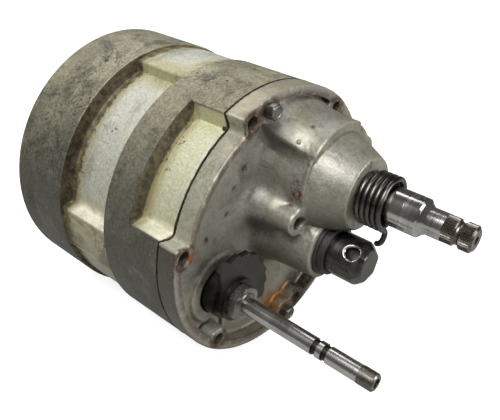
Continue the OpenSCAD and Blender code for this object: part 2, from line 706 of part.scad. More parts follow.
module output_front_bearing_balls() {
    color("#b9b9b7") ball_set(output_axis, front_bearing_r, journal_r, front_bearing_x, front_bearing_w);
}
module output_fourth_gear() {
    color("#5f5e5b") difference() {
        driven_gear(output_axis, input_axis, output_teeth_4, speed_module, fourth_x, fourth_x + gear_w);
        bar(output_axis, shaft_r, fourth_x - 1, fourth_x + gear_w + 1);
    }
}
module output_third_gear() {
    color("#5f5e5b") difference() {
        union() {
            driven_gear(output_axis, input_axis, output_teeth_3, speed_module, third_x, third_x + gear_w);
            dogs(output_axis, output_dog_r, third_x + gear_w - root_in, third_x + gear_w + dog_h, 45);
        }
        bar(output_axis, shaft_r + bush_wall, third_x - 1, third_x + gear_w + 1);
    }
}
module output_third_bush() {
    color("#a98a4e") ring(output_axis, shaft_r + bush_wall, shaft_r + run_fit, third_x, third_x + gear_w);
}
module output_second_gear() {
    color("#5f5e5b") difference() {
        union() {
            driven_gear(output_axis, input_axis, output_teeth_2, speed_module, second_x, second_x + gear_w);
            bar(output_axis, output_groove_r, output_groove_x, second_x);
            bar(output_axis, output_flange_r, output_groove_x - flange_w, output_groove_x);
            dogs(output_axis, output_dog_r, output_groove_x - flange_w - dog_h,
                output_groove_x - flange_w + root_in);
            dogs(output_axis, output_dog_r, second_x + gear_w - root_in, second_x + gear_w + dog_h);
        }
        bar(output_axis, shaft_r + run_fit, output_groove_x - flange_w - dog_h - 1, first_x);
        spline_keys(output_axis, spline_r, output_groove_x - flange_w - dog_h - 1, first_x, run_fit);
    }
}
first_hub_end = pinion_x - 2 * ratchet_face_h - 3;
module output_first_gear() {
    color("#5f5e5b") difference() {
        union() {
            driven_gear(output_axis, input_axis, output_teeth_1, speed_module, first_x, first_x + gear_w);
            bar(output_axis, 15.5, first_x + gear_w - 1, first_hub_end);
            ratchet_face(output_axis, 11, 15.5, first_hub_end, ratchet_face_h);
            dogs(output_axis, output_dog_r, first_x - dog_h, first_x + root_in, 45);
        }
        bar(output_axis, shaft_r + bush_wall, first_x - 1, first_hub_end + ratchet_face_h + 1);
    }
}
module output_first_bush() {
    color("#a98a4e") ring(output_axis, shaft_r + bush_wall, shaft_r + run_fit, first_x, first_hub_end);
}
module output_spacer() {
    color("#7d7c78") ring(output_axis, 11, journal_r, front_bearing_x + front_bearing_w, coupling_x);
}
// The coupling's nose ends in a cone with six flats cut across it
module output_coupling() {
    color("#3a3937") difference() {
        chamfered_bar(output_axis, coupling_r, coupling_x, coupling_end, 0.6, 4.6);
        bar(output_axis, journal_r, coupling_x - 1, coupling_end - 6);
        cross_hole();
        for (i = [0:5]) on_axis(output_axis, coupling_end - 6.6) rotate([0, 0, 60 * i + 12])
            translate([coupling_r - 0.1, -coupling_r, 0]) rotate([0, -40, 0])
                cube([8, 2 * coupling_r, 14]);
        // Slot for a key along the underside
        on_axis(output_axis, coupling_x + 6) rotate([0, 0, 222])
            translate([coupling_r - 2.6, -1.6, 0]) cube([4, 3.2, 12]);
    }
}

// ---- selector ----
sector_first_tip = 101;
sector_tooth_pitch = 18;
sector_tooth_depth = 1.8;
sector_teeth = 7;
// The sector is a slight scroll: each tooth stands this much lower than the one before
sector_fall = 0.3;
function scroll_r(i) = sector_r - sector_fall * i;
// Saw teeth: a short drop after each tip, then a long rise to the next
sector_outline = concat(
    [polar(sector_r - sector_tooth_depth + 0.3, sector_first_tip + sector_tooth_pitch - 4)],
    [for (i = [0:sector_teeth - 1]) let(a = sector_first_tip - sector_tooth_pitch * i)
        each [polar(scroll_r(i), a), polar(scroll_r(i) - sector_tooth_depth, a - 4)]],
    [for (k = [1:3]) polar(scroll_r(sector_teeth), sector_first_tip - sector_tooth_pitch * sector_teeth - 5 * k + 9)],
    [polar(13, 300), polar(13, 240), polar(13, 180), polar(14, 142)]);
module ratchet_sector() {
    color("#33322f") on_axis(input_axis, sector_x) difference() {
        linear_extrude(height = sector_t) polygon(sector_outline);
        translate([0, 0, -1]) cylinder(r = journal_r + pass_gap, h = sector_t + 2);
    }
}
module selector_sleeve() {
    color("#3d3c3a") difference() {
        union() {
            bar(input_axis, sleeve_r, sleeve_gear_x - 1.5, sector_x);
            gear(input_axis, sleeve_teeth, selector_module, toward(input_axis, selector_axis),
                sleeve_gear_x, sleeve_gear_x + selector_gear_w);
        }
        bar(input_axis, journal_r + bush_wall, sleeve_gear_x - 3, sector_x + 1);
    }
}
module sleeve_bush() {
    color("#a98a4e")
        ring(input_axis, journal_r + bush_wall, journal_r + run_fit, sleeve_gear_x - 1.5, sector_x);
}
module selector_drum() {
    color("#6a6965") difference() {
        union() {
            bar(selector_axis, selector_journal_r, selector_rear_x - 8.6, selector_rear_x);
            bar(selector_axis, selector_r, selector_rear_x, sleeve_gear_x - 1.5);
            bar(selector_axis, selector_journal_r, sleeve_gear_x - 1.5, face_x - 2.6);
        }
        for (x = [output_track_x, input_track_x])
            ring(selector_axis, selector_r + 1, selector_r - track_depth,
                x - track_half, x + track_half);
    }
}
module selector_drum_gear() {
    color("#6a6965") difference() {
        gear(selector_axis, drum_teeth, selector_module,
            toward(selector_axis, input_axis) + 180 / drum_teeth,
            sleeve_gear_x, sleeve_gear_x + selector_gear_w);
        bar(selector_axis, selector_journal_r, sleeve_gear_x - 1, sleeve_gear_x + selector_gear_w + 1);
    }
}
// A fork is a ring on the selector drum, an arm, and a claw round the gear's groove
track_half = fork_pin_r + dog_gap;
output_track_x = output_groove_x + 10;
input_track_x = input_groove_x - 8;
claw_w = 6;
module fork(gear_axis, groove_r, groove_x, ring_x0, ring_x1, pin_x) {
    reach = norm(gear_axis - selector_axis);
    lean = toward(selector_axis, gear_axis);
    claw_x = groove_x + fork_play / 2;
    difference() {
        union() {
            bar(selector_axis, fork_ring_r, ring_x0, ring_x1);
            on_axis(selector_axis, claw_x) rotate([0, 0, lean])
                translate([selector_r, -6, 0]) cube([reach - selector_r - groove_r - 1, 12, fork_t]);
            sector_ring(gear_axis, groove_r + pass_gap, groove_r + claw_w, lean + 95, lean + 265,
                claw_x, claw_x + fork_t);
        }
        bar(selector_axis, selector_r + run_fit, ring_x0 - 1, ring_x1 + 1);
        bar(gear_axis, groove_r + pass_gap, claw_x - 1, claw_x + fork_t + 1);
        on_axis(selector_axis, pin_x) rotate([0, 0, lean + 180]) rotate([0, 90, 0])
            cylinder(r = fork_pin_r, h = 2 * fork_ring_r);
    }
}
module fork_pin(gear_axis, pin_x) {
    on_axis(selector_axis, pin_x) rotate([0, 0, toward(selector_axis, gear_axis) + 180])
        rotate([0, 90, 0]) translate([0, 0, selector_r - track_depth + 0.4])
            cylinder(r = fork_pin_r, h = fork_ring_r - selector_r + track_depth - 0.4);
}
module output_fork() {
    color("#86847d") fork(output_axis, output_groove_r, output_groove_x,
        output_groove_x - 1.4, output_track_x + 6, output_track_x);
}
module output_fork_pin() { color("#9a9995") fork_pin(output_axis, output_track_x); }
module input_fork() {
    color("#86847d") fork(input_axis, input_groove_r, input_groove_x,
        input_track_x - 7, input_groove_x + 5, input_track_x);
}
module input_fork_pin() { color("#9a9995") fork_pin(input_axis, input_track_x); }

// ---- kick-start ----
kick_spline_x = 97.1;
pinch_groove_x = 105.2;
serration_count = 36;
serration_points = [for (i = [0:2 * serration_count - 1])
    polar(kick_spline_r - 0.1 - (i % 2) * 0.75, 180 * i / serration_count)];
module kickstart_shaft() {
    color("#a09f9b") difference() {
        union() {
            chamfered_bar(kick_axis, 9, kick_gear_x - 3, kick_gear_x + kick_gear_w + 1, 0.8, 0.1);
            bar(kick_axis, kick_journal_r, kick_gear_x + kick_gear_w + 0.5, kick_journal_end - 1);
            taper(kick_axis, kick_journal_r, kick_journal_r - 1, kick_journal_end - 1, kick_journal_end);
            taper(kick_axis, kick_journal_r - 1.4, kick_spline_r, kick_journal_end, kick_journal_end + 3);
            bar(kick_axis, kick_spline_r, kick_journal_end, kick_spline_x);
            on_axis(kick_axis, kick_spline_x) linear_extrude(height = kick_end - kick_spline_x - 1.2)
                polygon(serration_points);
            taper(kick_axis, kick_spline_r - 0.8, kick_spline_r - 1.8, kick_end - 1.2, kick_end);
        }
        // Groove for the lever's pinch bolt, a shallow circlip groove and the notch in the journal
        on_axis(kick_axis, pinch_groove_x) rotate_extrude()
            translate([kick_spline_r + 0.7, 0]) circle(r = 2.3, $fn = 48);
        ring(kick_axis, kick_journal_r + 1, kick_journal_r - 0.3, 74.2, 75);
        on_axis(kick_axis, kick_journal_end - 5) rotate([0, 0, 72])
            translate([kick_journal_r - 2.4, -5, 0]) cube([6, 10, 6]);
        on_axis(kick_axis, kick_end - 1.6) cylinder(r = 2.4, h = 3);
    }
}
module kickstart_gear() {
    color("#5f5e5b") difference() {
        driving_gear(kick_axis, output_axis, kick_teeth, kick_module, kick_gear_x, kick_gear_x + kick_gear_w);
        bar(kick_axis, 9, kick_gear_x - 1, kick_gear_x + kick_gear_w + 1);
    }
}
module kickstart_circlip() {
    color("#3d3c3a") ring(kick_axis, 11.6, 9, kick_gear_x - 1.4, kick_gear_x);
}
module kickstart_pinion() {
    color("#5f5e5b") difference() {
        union() {
            driven_gear(output_axis, kick_axis, pinion_teeth, kick_module, pinion_x, pinion_x + 16);
            bar(output_axis, 11.5, pinion_x + 15, pinion_x + pinion_len);
            mirror([1, 0, 0]) ratchet_face(output_axis, 9.5, 11.6, -pinion_x, ratchet_face_h);
        }
        bar(output_axis, journal_r + run_fit, pinion_x - 4, pinion_x + pinion_len + 1);
    }
}

// ---- clutch push rod ----
rod_tail_x = -60;
rod_grooves = [66.4, 73.1];
rod_collar_x = 94.5;
module clutch_push_rod() {
    color("#b5b5b2") difference() {
        union() {
            chamfered_bar(input_axis, rod_r, rod_tail_x, rod_collar_x, 0.8, 0.1);
            chamfered_bar(input_axis, rod_r + 0.2, rod_collar_x, rod_reach, 0.1, 0.9);
        }
        for (x = rod_grooves) ring(input_axis, rod_r + 1, rod_r - 0.8, x - 1.5, x + 1.5);
        bar(input_axis, 2.8, rod_reach - 7, rod_reach + 1);
    }
}

gearbox_shell();
inner_cover();
cover_gasket();
cover_bolts();
cover_dowels();
input_bearing_outer();
input_bearing_balls();
input_oil_seal();
output_rear_bearing_outer();
output_rear_bearing_balls();
output_front_bearing_outer();
output_front_bearing_balls();
output_oil_seal();
kickstart_bush();
kickstart_return_spring();
input_shaft();
input_bearing_inner();
input_first_gear();
input_washer();
input_nut();
input_second_gear();
input_second_bush();
input_third_gear();
input_fourth_gear();
input_fourth_bush();
output_shaft();
output_rear_bearing_inner();
output_front_bearing_inner();
output_fourth_gear();
output_spacer();
output_coupling();
output_first_gear();
output_first_bush();
output_second_gear();
output_third_gear();
output_third_bush();
ratchet_sector();
selector_sleeve();
sleeve_bush();
selector_drum();
selector_drum_gear();
output_fork();
output_fork_pin();
input_fork();
input_fork_pin();
kickstart_shaft();
kickstart_gear();
kickstart_circlip();
kickstart_pinion();
clutch_push_rod();
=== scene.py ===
"""Looks of a drum gearbox with its outer cover off: cast casing and cover, seals, spring, steels.

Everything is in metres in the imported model's frame: +X runs along the drum out of the cover, +Z is up,
and the origin is the centre of the cover's joint face. Shapes are worked out in millimetres with numpy
and scaled when they become meshes.
"""

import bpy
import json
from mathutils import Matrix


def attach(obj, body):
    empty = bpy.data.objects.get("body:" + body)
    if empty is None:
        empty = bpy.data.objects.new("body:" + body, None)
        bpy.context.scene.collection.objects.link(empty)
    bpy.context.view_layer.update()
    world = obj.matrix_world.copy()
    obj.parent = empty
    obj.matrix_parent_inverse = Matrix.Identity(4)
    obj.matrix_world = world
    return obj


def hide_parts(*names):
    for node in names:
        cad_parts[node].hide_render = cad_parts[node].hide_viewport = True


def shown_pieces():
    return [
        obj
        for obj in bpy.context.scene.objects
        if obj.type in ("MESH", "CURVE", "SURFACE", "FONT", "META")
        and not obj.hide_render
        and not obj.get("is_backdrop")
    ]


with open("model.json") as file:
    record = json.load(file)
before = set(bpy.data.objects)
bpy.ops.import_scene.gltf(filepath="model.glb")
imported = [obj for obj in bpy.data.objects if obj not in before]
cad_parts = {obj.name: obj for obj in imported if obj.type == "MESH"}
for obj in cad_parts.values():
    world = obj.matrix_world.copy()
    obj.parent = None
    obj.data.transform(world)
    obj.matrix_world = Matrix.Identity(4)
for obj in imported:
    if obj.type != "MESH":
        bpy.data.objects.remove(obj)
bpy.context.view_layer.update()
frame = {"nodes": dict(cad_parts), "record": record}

import json
import math

import bpy
import numpy as np
from mathutils import Vector
from mathutils.bvhtree import BVHTree

MM = 0.001

# ---- sizes shared with the solids, in millimetres and degrees ----
DRUM_R, WAIST_R, REAR_EDGE_R = 87.5, 86.0, 1.4
REAR_X, WAIST_REAR_X, WAIST_FRONT_X = -148.7, -102.4, -59.4
POCKET_X, SHELL_FRONT_X, COVER_BACK_X, FACE_X = -38.5, -13.8, -13.2, -9.5
END_RING_R, END_BORE_R = 25.5, 16.05
FRONT_POCKET_R, WAIST_POCKET_R = 76.7, 78.75
FRONT_POCKET, WAIST_POCKET = (111, 163), (101, 173)
PAD, PAD_BEAD = (193, 262), 192.7
RIM_INNER_R, WALL_INNER_R = 81.5, 72.5
SCREW_CIRCLE_R, SCREW_HOLE_R, LUG_R = 80.5, 3.95, 8.0
SCREW_ANGLES = [47 + 60 * i for i in range(6)]
BOLT_ANGLES = [96.8, 277.3]


def polar(radius, degrees):
    return np.array([radius * math.cos(math.radians(degrees)), radius * math.sin(math.radians(degrees))])


OUTPUT_AXIS = np.array([9.6, -7.4])
INPUT_AXIS = OUTPUT_AXIS + polar(58.75, 200.4)
KICK_AXIS = OUTPUT_AXIS + polar(40, 71.3)
SELECTOR_AXIS = INPUT_AXIS + polar(42, -46.2)
DOME_AXIS = KICK_AXIS + np.array([2.0, 2.0])
DOME_R, DOME_STEP_X, DOME_CONE_R, DOME_FACE_X, DOME_FACE_R = 33.7, 25.0, 31.3, 47.7, 22.2
RIDGE_AT, RIDGE_ANGLE = (0.2, 55.9), 112.8
OUTPUT_BOSS_X, SLEEVE_R = 33.0, 15.4
HOLE_BOSS, HOLE_BOSS_X, HOLE_R = np.array([-10.2, 16.0]), 23.5, 4.25
NOSE_START_X, NOSE_END_X, NOSE_R = 29.55, 61.9, 13.7
CROSS_HOLE_X, CROSS_HOLE_R, CROSS_HOLE_ANGLE = 54, 4.0, 126.6
# Rooms and seats bored along X: axis, radius, end wall, and 1 in front of that wall or -1 behind it
BORES = [(OUTPUT_AXIS, 17.5, 16.0, 1), (OUTPUT_AXIS, 16.8, 14.0, -1), (OUTPUT_AXIS, 10.0, 17.0, -1),
         (KICK_AXIS, 14.5, 11.0, 1), (KICK_AXIS, 28.6, 12.0, -1), (HOLE_BOSS, HOLE_R, HOLE_BOSS_X - 15.5, 1)]


def along(y, z, degrees):
    """How far a place lies in a direction across the drum."""
    return y * math.cos(math.radians(degrees)) + z * math.sin(math.radians(degrees))


def hexagon(y, z, first):
    """Largest distance along six directions 60 degrees apart, the first one given."""
    return np.maximum.reduce([along(y, z, 60 * i + first) for i in range(6)])


def from_nearest(y, z, angles):
    """Distance to the nearest of the axes at these angles on the cover's screw circle."""
    axes = [polar(SCREW_CIRCLE_R, angle) for angle in angles]
    return np.minimum.reduce([np.hypot(y - axis[0], z - axis[1]) for axis in axes])


def beside_ridge(y, z):
    """Distance from the line of the skirt's ridge, positive on its right."""
    angle = math.radians(RIDGE_ANGLE)
    return (y - RIDGE_AT[0]) * math.sin(angle) - (z - RIDGE_AT[1]) * math.cos(angle)


# ---- meshes from arrays ----
def make_piece(name, points, faces, body, masks=None, smooth_angle=None):
    """A mesh from points in millimetres and an array of triangles or quads, riding on a body.

    masks are named values, one per point, that a material can read as attributes. Edges sharper
    than smooth_angle, in degrees, stay sharp.
    """
    points = np.asarray(points, np.float32).reshape(-1, 3) * MM
    mesh = bpy.data.meshes.new(name)
    mesh.from_pydata(points.tolist(), [], faces.tolist())
    mesh.validate()
    mesh.shade_smooth()
    if smooth_angle is not None:
        mesh.set_sharp_from_angle(angle=math.radians(smooth_angle))
    for key, values in (masks or {}).items():
        layer = mesh.attributes.new(key, "FLOAT", "POINT")
        layer.data.foreach_set("value", np.asarray(values, np.float32).ravel())
    piece = bpy.data.objects.new(name, mesh)
    bpy.context.collection.objects.link(piece)
    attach(piece, body)
    return piece


def grid_faces(rows, columns, close_rows=False, close_columns=False):
    """Quads of a grid of points numbered row by row; either direction can close on itself."""
    i = np.arange(rows if close_rows else rows - 1)[:, None]
    j = np.arange(columns if close_columns else columns - 1)[None, :]
    a = i * columns + j
    b = i * columns + (j + 1) % columns
    c = ((i + 1) % rows) * columns + (j + 1) % columns
    d = ((i + 1) % rows) * columns + j
    return np.stack([a, b, c, d], -1).reshape(-1, 4)


def resampled(line, stations):
    """Points along a line of points; stations turns the distances of its points into those wanted."""
    walk = np.concatenate([[0], np.cumsum(np.linalg.norm(np.diff(line, axis=0), axis=1))])
    return np.stack([np.interp(stations(walk), walk, column) for column in line.T], 1)


def swept_tube(path, radii, sides=16):
    """A round tube along a path: each ring of points is square to the path, turned as little as possible.

    The ends are closed by shrinking the last ring to a point.
    """
    path = np.asarray(path, float)
    point_r = 1e-4
    radii = np.concatenate([[point_r], np.broadcast_to(np.asarray(radii, float), (len(path),)), [point_r]])
    path = np.vstack([path[0], path, path[-1]])
    run = np.gradient(path, axis=0)
    run[1], run[-2] = path[2] - path[1], path[-2] - path[-3]
    run[0], run[-1] = run[1], run[-2]
    run /= np.linalg.norm(run, axis=1)[:, None]
    nearly_x = np.array([1.0, 0.0, 0.0013])
    across = np.cross(run, nearly_x)
    across /= np.linalg.norm(across, axis=1)[:, None]
    up = np.cross(across, run)
    turn = np.linspace(0, 2 * np.pi, sides, endpoint=False)[None, :, None]
    ring = np.cos(turn) * across[:, None, :] + np.sin(turn) * up[:, None, :]
    points = path[:, None, :] + radii[:, None, None] * ring
    return points.reshape(-1, 3), grid_faces(len(path), sides, close_columns=True)


# ---- smooth fields and the surface where they are zero ----
def smooth_min(a, b, width):
    """The smaller of two fields, rounded off over width where they come close."""
    near = np.clip(width - np.abs(a - b), 0, None) / width
    return np.minimum(a, b) - near * near * (width / 4)


def smooth_max(a, b, width):
    return -smooth_min(-a, -b, width)


def smooth_step(low, high, value):
    t = np.clip((value - low) / (high - low), 0, 1)
    return t * t * (3 - 2 * t)


def within(value, start, full, fade, end):
    """1 from full to fade, running smoothly to 0 at start and at end."""
    return smooth_step(start, full, value) * smooth_step(end, fade, value)


def wedge(y, z, centre, start, end):
    """Negative between two half planes that leave the centre at the angles start and end."""
    a, b = math.radians(start), math.radians(end)
    y, z = y - centre[0], z - centre[1]
    return np.maximum(math.sin(a) * y - math.cos(a) * z, math.cos(b) * z - math.sin(b) * y)


def slope_of(field, points):
    """Direction in which a field rises fastest at each point, as unit vectors."""
    e = 0.02
    here = field(*points.T)
    slope = np.stack([field(*(points + np.eye(3)[k] * e).T) - here for k in range(3)], 1)
    return slope / np.clip(np.linalg.norm(slope, axis=1), 1e-9, None)[:, None]


def surface_of(field, low, high, step):
    """Points and quads of the surface where field(x, y, z) is zero, negative inside.

    Each grid edge that the surface crosses gets the quad of the four cells round it. Each cell's
    point is the one nearest to the flat surfaces through its crossings: with n the unit slope at a
    crossing c, it solves sum(n n') p = sum(n (n . c)), pulled a little to the crossings' mean. So
    sharp edges stay sharp and flat faces stay flat.
    """
    axes = [np.arange(low[k], high[k] + step, step, dtype=np.float32) for k in range(3)]
    value = field(axes[0][:, None, None], axes[1][None, :, None], axes[2][None, None, :]).astype(np.float32)
    inside = value < 0
    shape = np.array(value.shape)
    corner = np.array([a[0] for a in axes])
    quads, crossings = [], []
    for axis in range(3):
        first = [slice(None)] * 3
        second = [slice(None)] * 3
        first[axis], second[axis] = slice(0, -1), slice(1, None)
        at = np.argwhere(inside[tuple(first)] != inside[tuple(second)])
        u, v = (axis + 1) % 3, (axis + 2) % 3
        at = at[(at[:, u] > 0) & (at[:, v] > 0) & (at[:, u] < shape[u] - 1) & (at[:, v] < shape[v] - 1)]
        ahead = at.copy()
        ahead[:, axis] += 1
        v0, v1 = value[tuple(at.T)], value[tuple(ahead.T)]
        point = at.astype(np.float64)
        point[:, axis] += v0 / (v0 - v1)
        around = []
        for du, dv in ((0, 0), (-1, 0), (-1, -1), (0, -1)):
            cell = at.copy()
            cell[:, u] += du
            cell[:, v] += dv
            around.append(np.ravel_multi_index(tuple(cell.T), tuple(shape)))
        around = np.stack(around, 1)
        outwards = inside[tuple(at.T)]
        around[~outwards] = around[~outwards][:, ::-1]
        quads.append(around)
        crossings.append(point * step + corner)
    quads, crossings = np.vstack(quads), np.vstack(crossings)
    used, number = np.unique(quads.ravel(), return_inverse=True)
    count = np.bincount(number)
    slope = slope_of(field, crossings)

    def total(values):
        return np.bincount(number, np.repeat(values, 4))

    mean = np.stack([total(crossings[:, k]) for k in range(3)], 1) / count[:, None]
    reach = (slope * crossings).sum(1)
    pull = 0.05 * count
    left = np.stack([np.stack([total(slope[:, i] * slope[:, j]) for j in range(3)], 1) for i in range(3)], 1)
    left = left + pull[:, None, None] * np.eye(3)
    right = np.stack([total(slope[:, k] * reach) for k in range(3)], 1) + pull[:, None] * mean
    points = np.linalg.solve(left, right[:, :, None])[:, :, 0]
    points = mean + np.clip(points - mean, -0.8 * step, 0.8 * step)
    return points, np.searchsorted(used, quads)


def value_noise(points, scale, seed):
    """Smooth random values from -1 to 1 at points: a lattice of random numbers, blended over each cell."""
    rng = np.random.default_rng(seed)
    table = rng.uniform(-1, 1, (32, 32, 32))
    p = np.asarray(points, float) / scale + 100.0
    cell = np.floor(p).astype(int)
    t = p - cell
    t = t * t * (3 - 2 * t)
    total = 0
    for ahead in np.ndindex(2, 2, 2):
        weight = np.where(ahead, t, 1 - t).prod(1)
        total = total + weight * table[tuple(((cell + ahead) % len(table)).T)]
    return total


# ---- drum casing ----
def fine_lines(low, high, step, marks, spread):
    """Numbers from low to high about step apart, with extra ones close to each mark."""
    lines = [np.linspace(low, high, max(2, int((high - low) / step)))]
    for mark in marks:
        lines.append(mark + np.array(spread))
        lines.append(mark - np.array(spread))
    lines = np.unique(np.round(np.concatenate(lines), 4))
    return lines[(lines >= low) & (lines <= high)]


def pocket_depth(inset, depth, fillet, lip):
    """Depth below the band at a distance inside the pocket's edge: a wall, a round fillet, then the floor.

    lip is the radius that rounds the edge over, measured outwards from it.
    """
    over = np.clip(inset + lip, 0, lip)
    rounded = lip - np.sqrt(np.clip(lip * lip - over * over, 0, None))
    wall = np.clip(inset / 0.22, 0, None)
    into = np.clip(fillet - np.clip(inset, 0, fillet), 0, fillet)
    arc = depth - fillet + np.sqrt(np.clip(fillet * fillet - into * into, 0, None))
    inner = np.minimum(lip + wall, arc)
    return np.where(inset <= 0, rounded, np.maximum(inner, 0))


def inset_of(from_ends, from_sides):
    """Distance inside two crossing pairs of walls, rounded where they meet in a corner."""
    both = np.minimum(from_ends, from_sides)
    return np.where(both <= 0, both, from_ends + from_sides - np.hypot(from_ends, from_sides))


def casing_radius(x, turn):
    """Outer radius of the drum at a station x and an angle in degrees: bands, waist, pad and two pockets.

    The pad under the waist's pocket is sunk a little, with a cast bead at its upper end. The closed
    end's edge is round, and the bands' edges at the waist are chamfered.
    """
    waist = (x > WAIST_REAR_X) & (x < WAIST_FRONT_X)
    base = np.where(waist, WAIST_R, DRUM_R)
    sunk = 0.9 * within(turn, PAD[0], PAD[0] + 0.6, PAD[1] - 4, PAD[1])
    base = np.where(waist & (turn > PAD[0]) & (turn < PAD[1]), base - sunk, base)
    base = base + waist * 0.55 * np.exp(-(((turn - PAD_BEAD) * 1.5) / 0.9) ** 2)
    in_waist = np.minimum(x - WAIST_REAR_X, WAIST_FRONT_X - x)
    for here, from_ends, (start, end), outside, inside, fillet, lip in (
            (waist, in_waist, WAIST_POCKET, WAIST_R, WAIST_POCKET_R, 3.4, 1.6),
            (x > WAIST_FRONT_X, x - POCKET_X, FRONT_POCKET, DRUM_R, FRONT_POCKET_R, 3.6, 0.25)):
        from_sides = np.minimum(turn - start, end - turn) * math.radians(1) * outside
        inset = inset_of(from_ends, from_sides)
        base = np.where(here, base - pocket_depth(inset, outside - inside, fillet, lip), base)
    to_end = np.clip(REAR_EDGE_R - (x - REAR_X), 0, REAR_EDGE_R)
    base = base - (REAR_EDGE_R - np.sqrt(np.clip(REAR_EDGE_R ** 2 - to_end ** 2, 0, None)))
    chamfer = 0.5
    for edge, side in ((WAIST_REAR_X, -1), (WAIST_FRONT_X, 1)):
        off = np.clip(chamfer - np.abs(x - edge), 0, chamfer)
        base = base - np.where((x - edge) * side >= 0, off * 0.6, 0)
    return base


def lower_side_shade_and_dirt(angle):
    """1 on the drum's lower and left side, fading to 0 at the top and the right: where painted shade, with some
    dirt, darkens the colour.
    """
    return within(angle, 108, 162, 290, 345)


def casing():
    """The drum: an outer skin, the closed end with the input shaft's raised ring, and the cavity's wall.

    Each station is a loop of points, centre + radius * (cos, sin); the stations run forwards and
    back and close on the first, so the wall has both its sides.
    """
    near = [0, 0.02, 0.12, 0.3, 0.55, 0.9, 1.4, 2.0, 2.7, 3.5, 4.4]
    corners = [*WAIST_POCKET, *FRONT_POCKET, PAD_BEAD]
    turn = fine_lines(0, 360, 1.6, corners, [v / 1.5 for v in near])[:-1]
    steps = [REAR_X, WAIST_REAR_X, WAIST_FRONT_X, POCKET_X]
    station = fine_lines(REAR_X, SHELL_FRONT_X, 2.6, steps, near)[::-1]
    cosine, sine = np.cos(np.radians(turn)), np.sin(np.radians(turn))
    outer = casing_radius(station[:, None], turn[None, :])
    loops, depths = [], []

    def add(x, centre, radius, depth=0.0):
        radius = np.broadcast_to(radius, turn.shape)
        loops.append(np.stack([np.full(turn.shape, x), centre[0] + radius * cosine,
                               centre[1] + radius * sine], -1))
        depths.append(np.broadcast_to(depth, turn.shape))

    axis = np.zeros(2)
    for x, radius in zip(station, outer):
        add(x, axis, radius, DRUM_R - radius)
    for part in (0.25, 0.5, 0.75):
        add(REAR_X, axis * (1 - part) + INPUT_AXIS * part, (DRUM_R - REAR_EDGE_R) * (1 - part) + END_RING_R * part)
    # The closed end's raised ring, its bore, and the end's inner face out to the cavity's wall
    end_inside_x, seat_r, wall_r, least_wall = -144.95, 24, 82.5, 4.4
    for x, radius in ((REAR_X, END_RING_R), (REAR_X - 0.4, 24.6), (REAR_X - 2.4, 22.6), (REAR_X - 3.0, 21.8),
                      (REAR_X - 3.0, 16.6), (REAR_X - 2.6, END_BORE_R), (end_inside_x, END_BORE_R),
                      (end_inside_x, seat_r)):
        add(x, INPUT_AXIS, radius)
    for part in (0.35, 0.7):
        add(end_inside_x + 0.05, INPUT_AXIS * (1 - part), seat_r * (1 - part) + 78 * part)
    inner = np.minimum(wall_r, outer - least_wall)
    for k in range(len(station) - 1, -1, -4):
        if station[k] > end_inside_x + 0.45:
            add(station[k], axis, inner[k], DRUM_R - outer[k])
    add(SHELL_FRONT_X, axis, inner[0], DRUM_R - outer[0])
    faces = grid_faces(len(loops), len(turn), close_rows=True, close_columns=True)
    points = np.stack(loops).reshape(-1, 3)
    sunk = np.stack(depths).ravel()
    x, y, z = points.T
    angle = np.degrees(np.arctan2(z, y)) % 360

    def either(in_waist, in_front):
        return np.where(x < WAIST_FRONT_X, in_waist, in_front)

    waist = ((x > WAIST_REAR_X + 0.01) & (x < WAIST_FRONT_X - 0.01)).astype(float)
    cast = np.clip(smooth_step(0.6, 2.0, sunk) + waist * smooth_step(0.4, 1.2, sunk), 0, 1)
    behind = either(x - WAIST_REAR_X, x - POCKET_X)
    ahead = either(WAIST_FRONT_X - x, 99.0)
    grime = np.clip(1 - np.clip(behind, 0, None) / either(13.0, 9.0), 0, 1)
    grime = grime * np.clip(sunk / 1.2, 0, 1) * (behind > -0.6)
    top, bottom = [either(a, b) for a, b in zip(WAIST_POCKET, FRONT_POCKET)]
    # Each pocket's lower step, where a painted highlight is laid on its upward face
    step = within(angle, bottom - 5.5, bottom - 2, bottom + 0.2, bottom + 1.4)
    step = step * (sunk > 0.15) * smooth_step(4, 9, behind)
    # Rear walls of the pockets, for a dark crust of dirt that is also painted shade
    wall = (behind > -0.05) * smooth_step(2.4, 1.5, behind) * np.clip(sunk / 0.5, 0, 1)
    wall = wall * (angle > 96) * (angle < 178)
    pad = waist * smooth_step(2.4, 1.9, sunk) * within(angle, 172, 176, PAD[1], 300)
    from_ends = np.minimum(np.abs(angle - top), np.abs(angle - bottom)) * 1.5
    edge = np.maximum(smooth_step(13, 2, np.minimum(behind, ahead)), smooth_step(16, 3, from_ends))
    piece = make_piece("casing", points, faces, "casing",
                       {"cast": cast, "grime": grime, "edge": edge, "low": lower_side_shade_and_dirt(angle),
                        "step": step, "wall": wall, "pad": pad, "front": (x > WAIST_FRONT_X).astype(float)}, 32)
    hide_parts("gearbox_shell")
    return piece


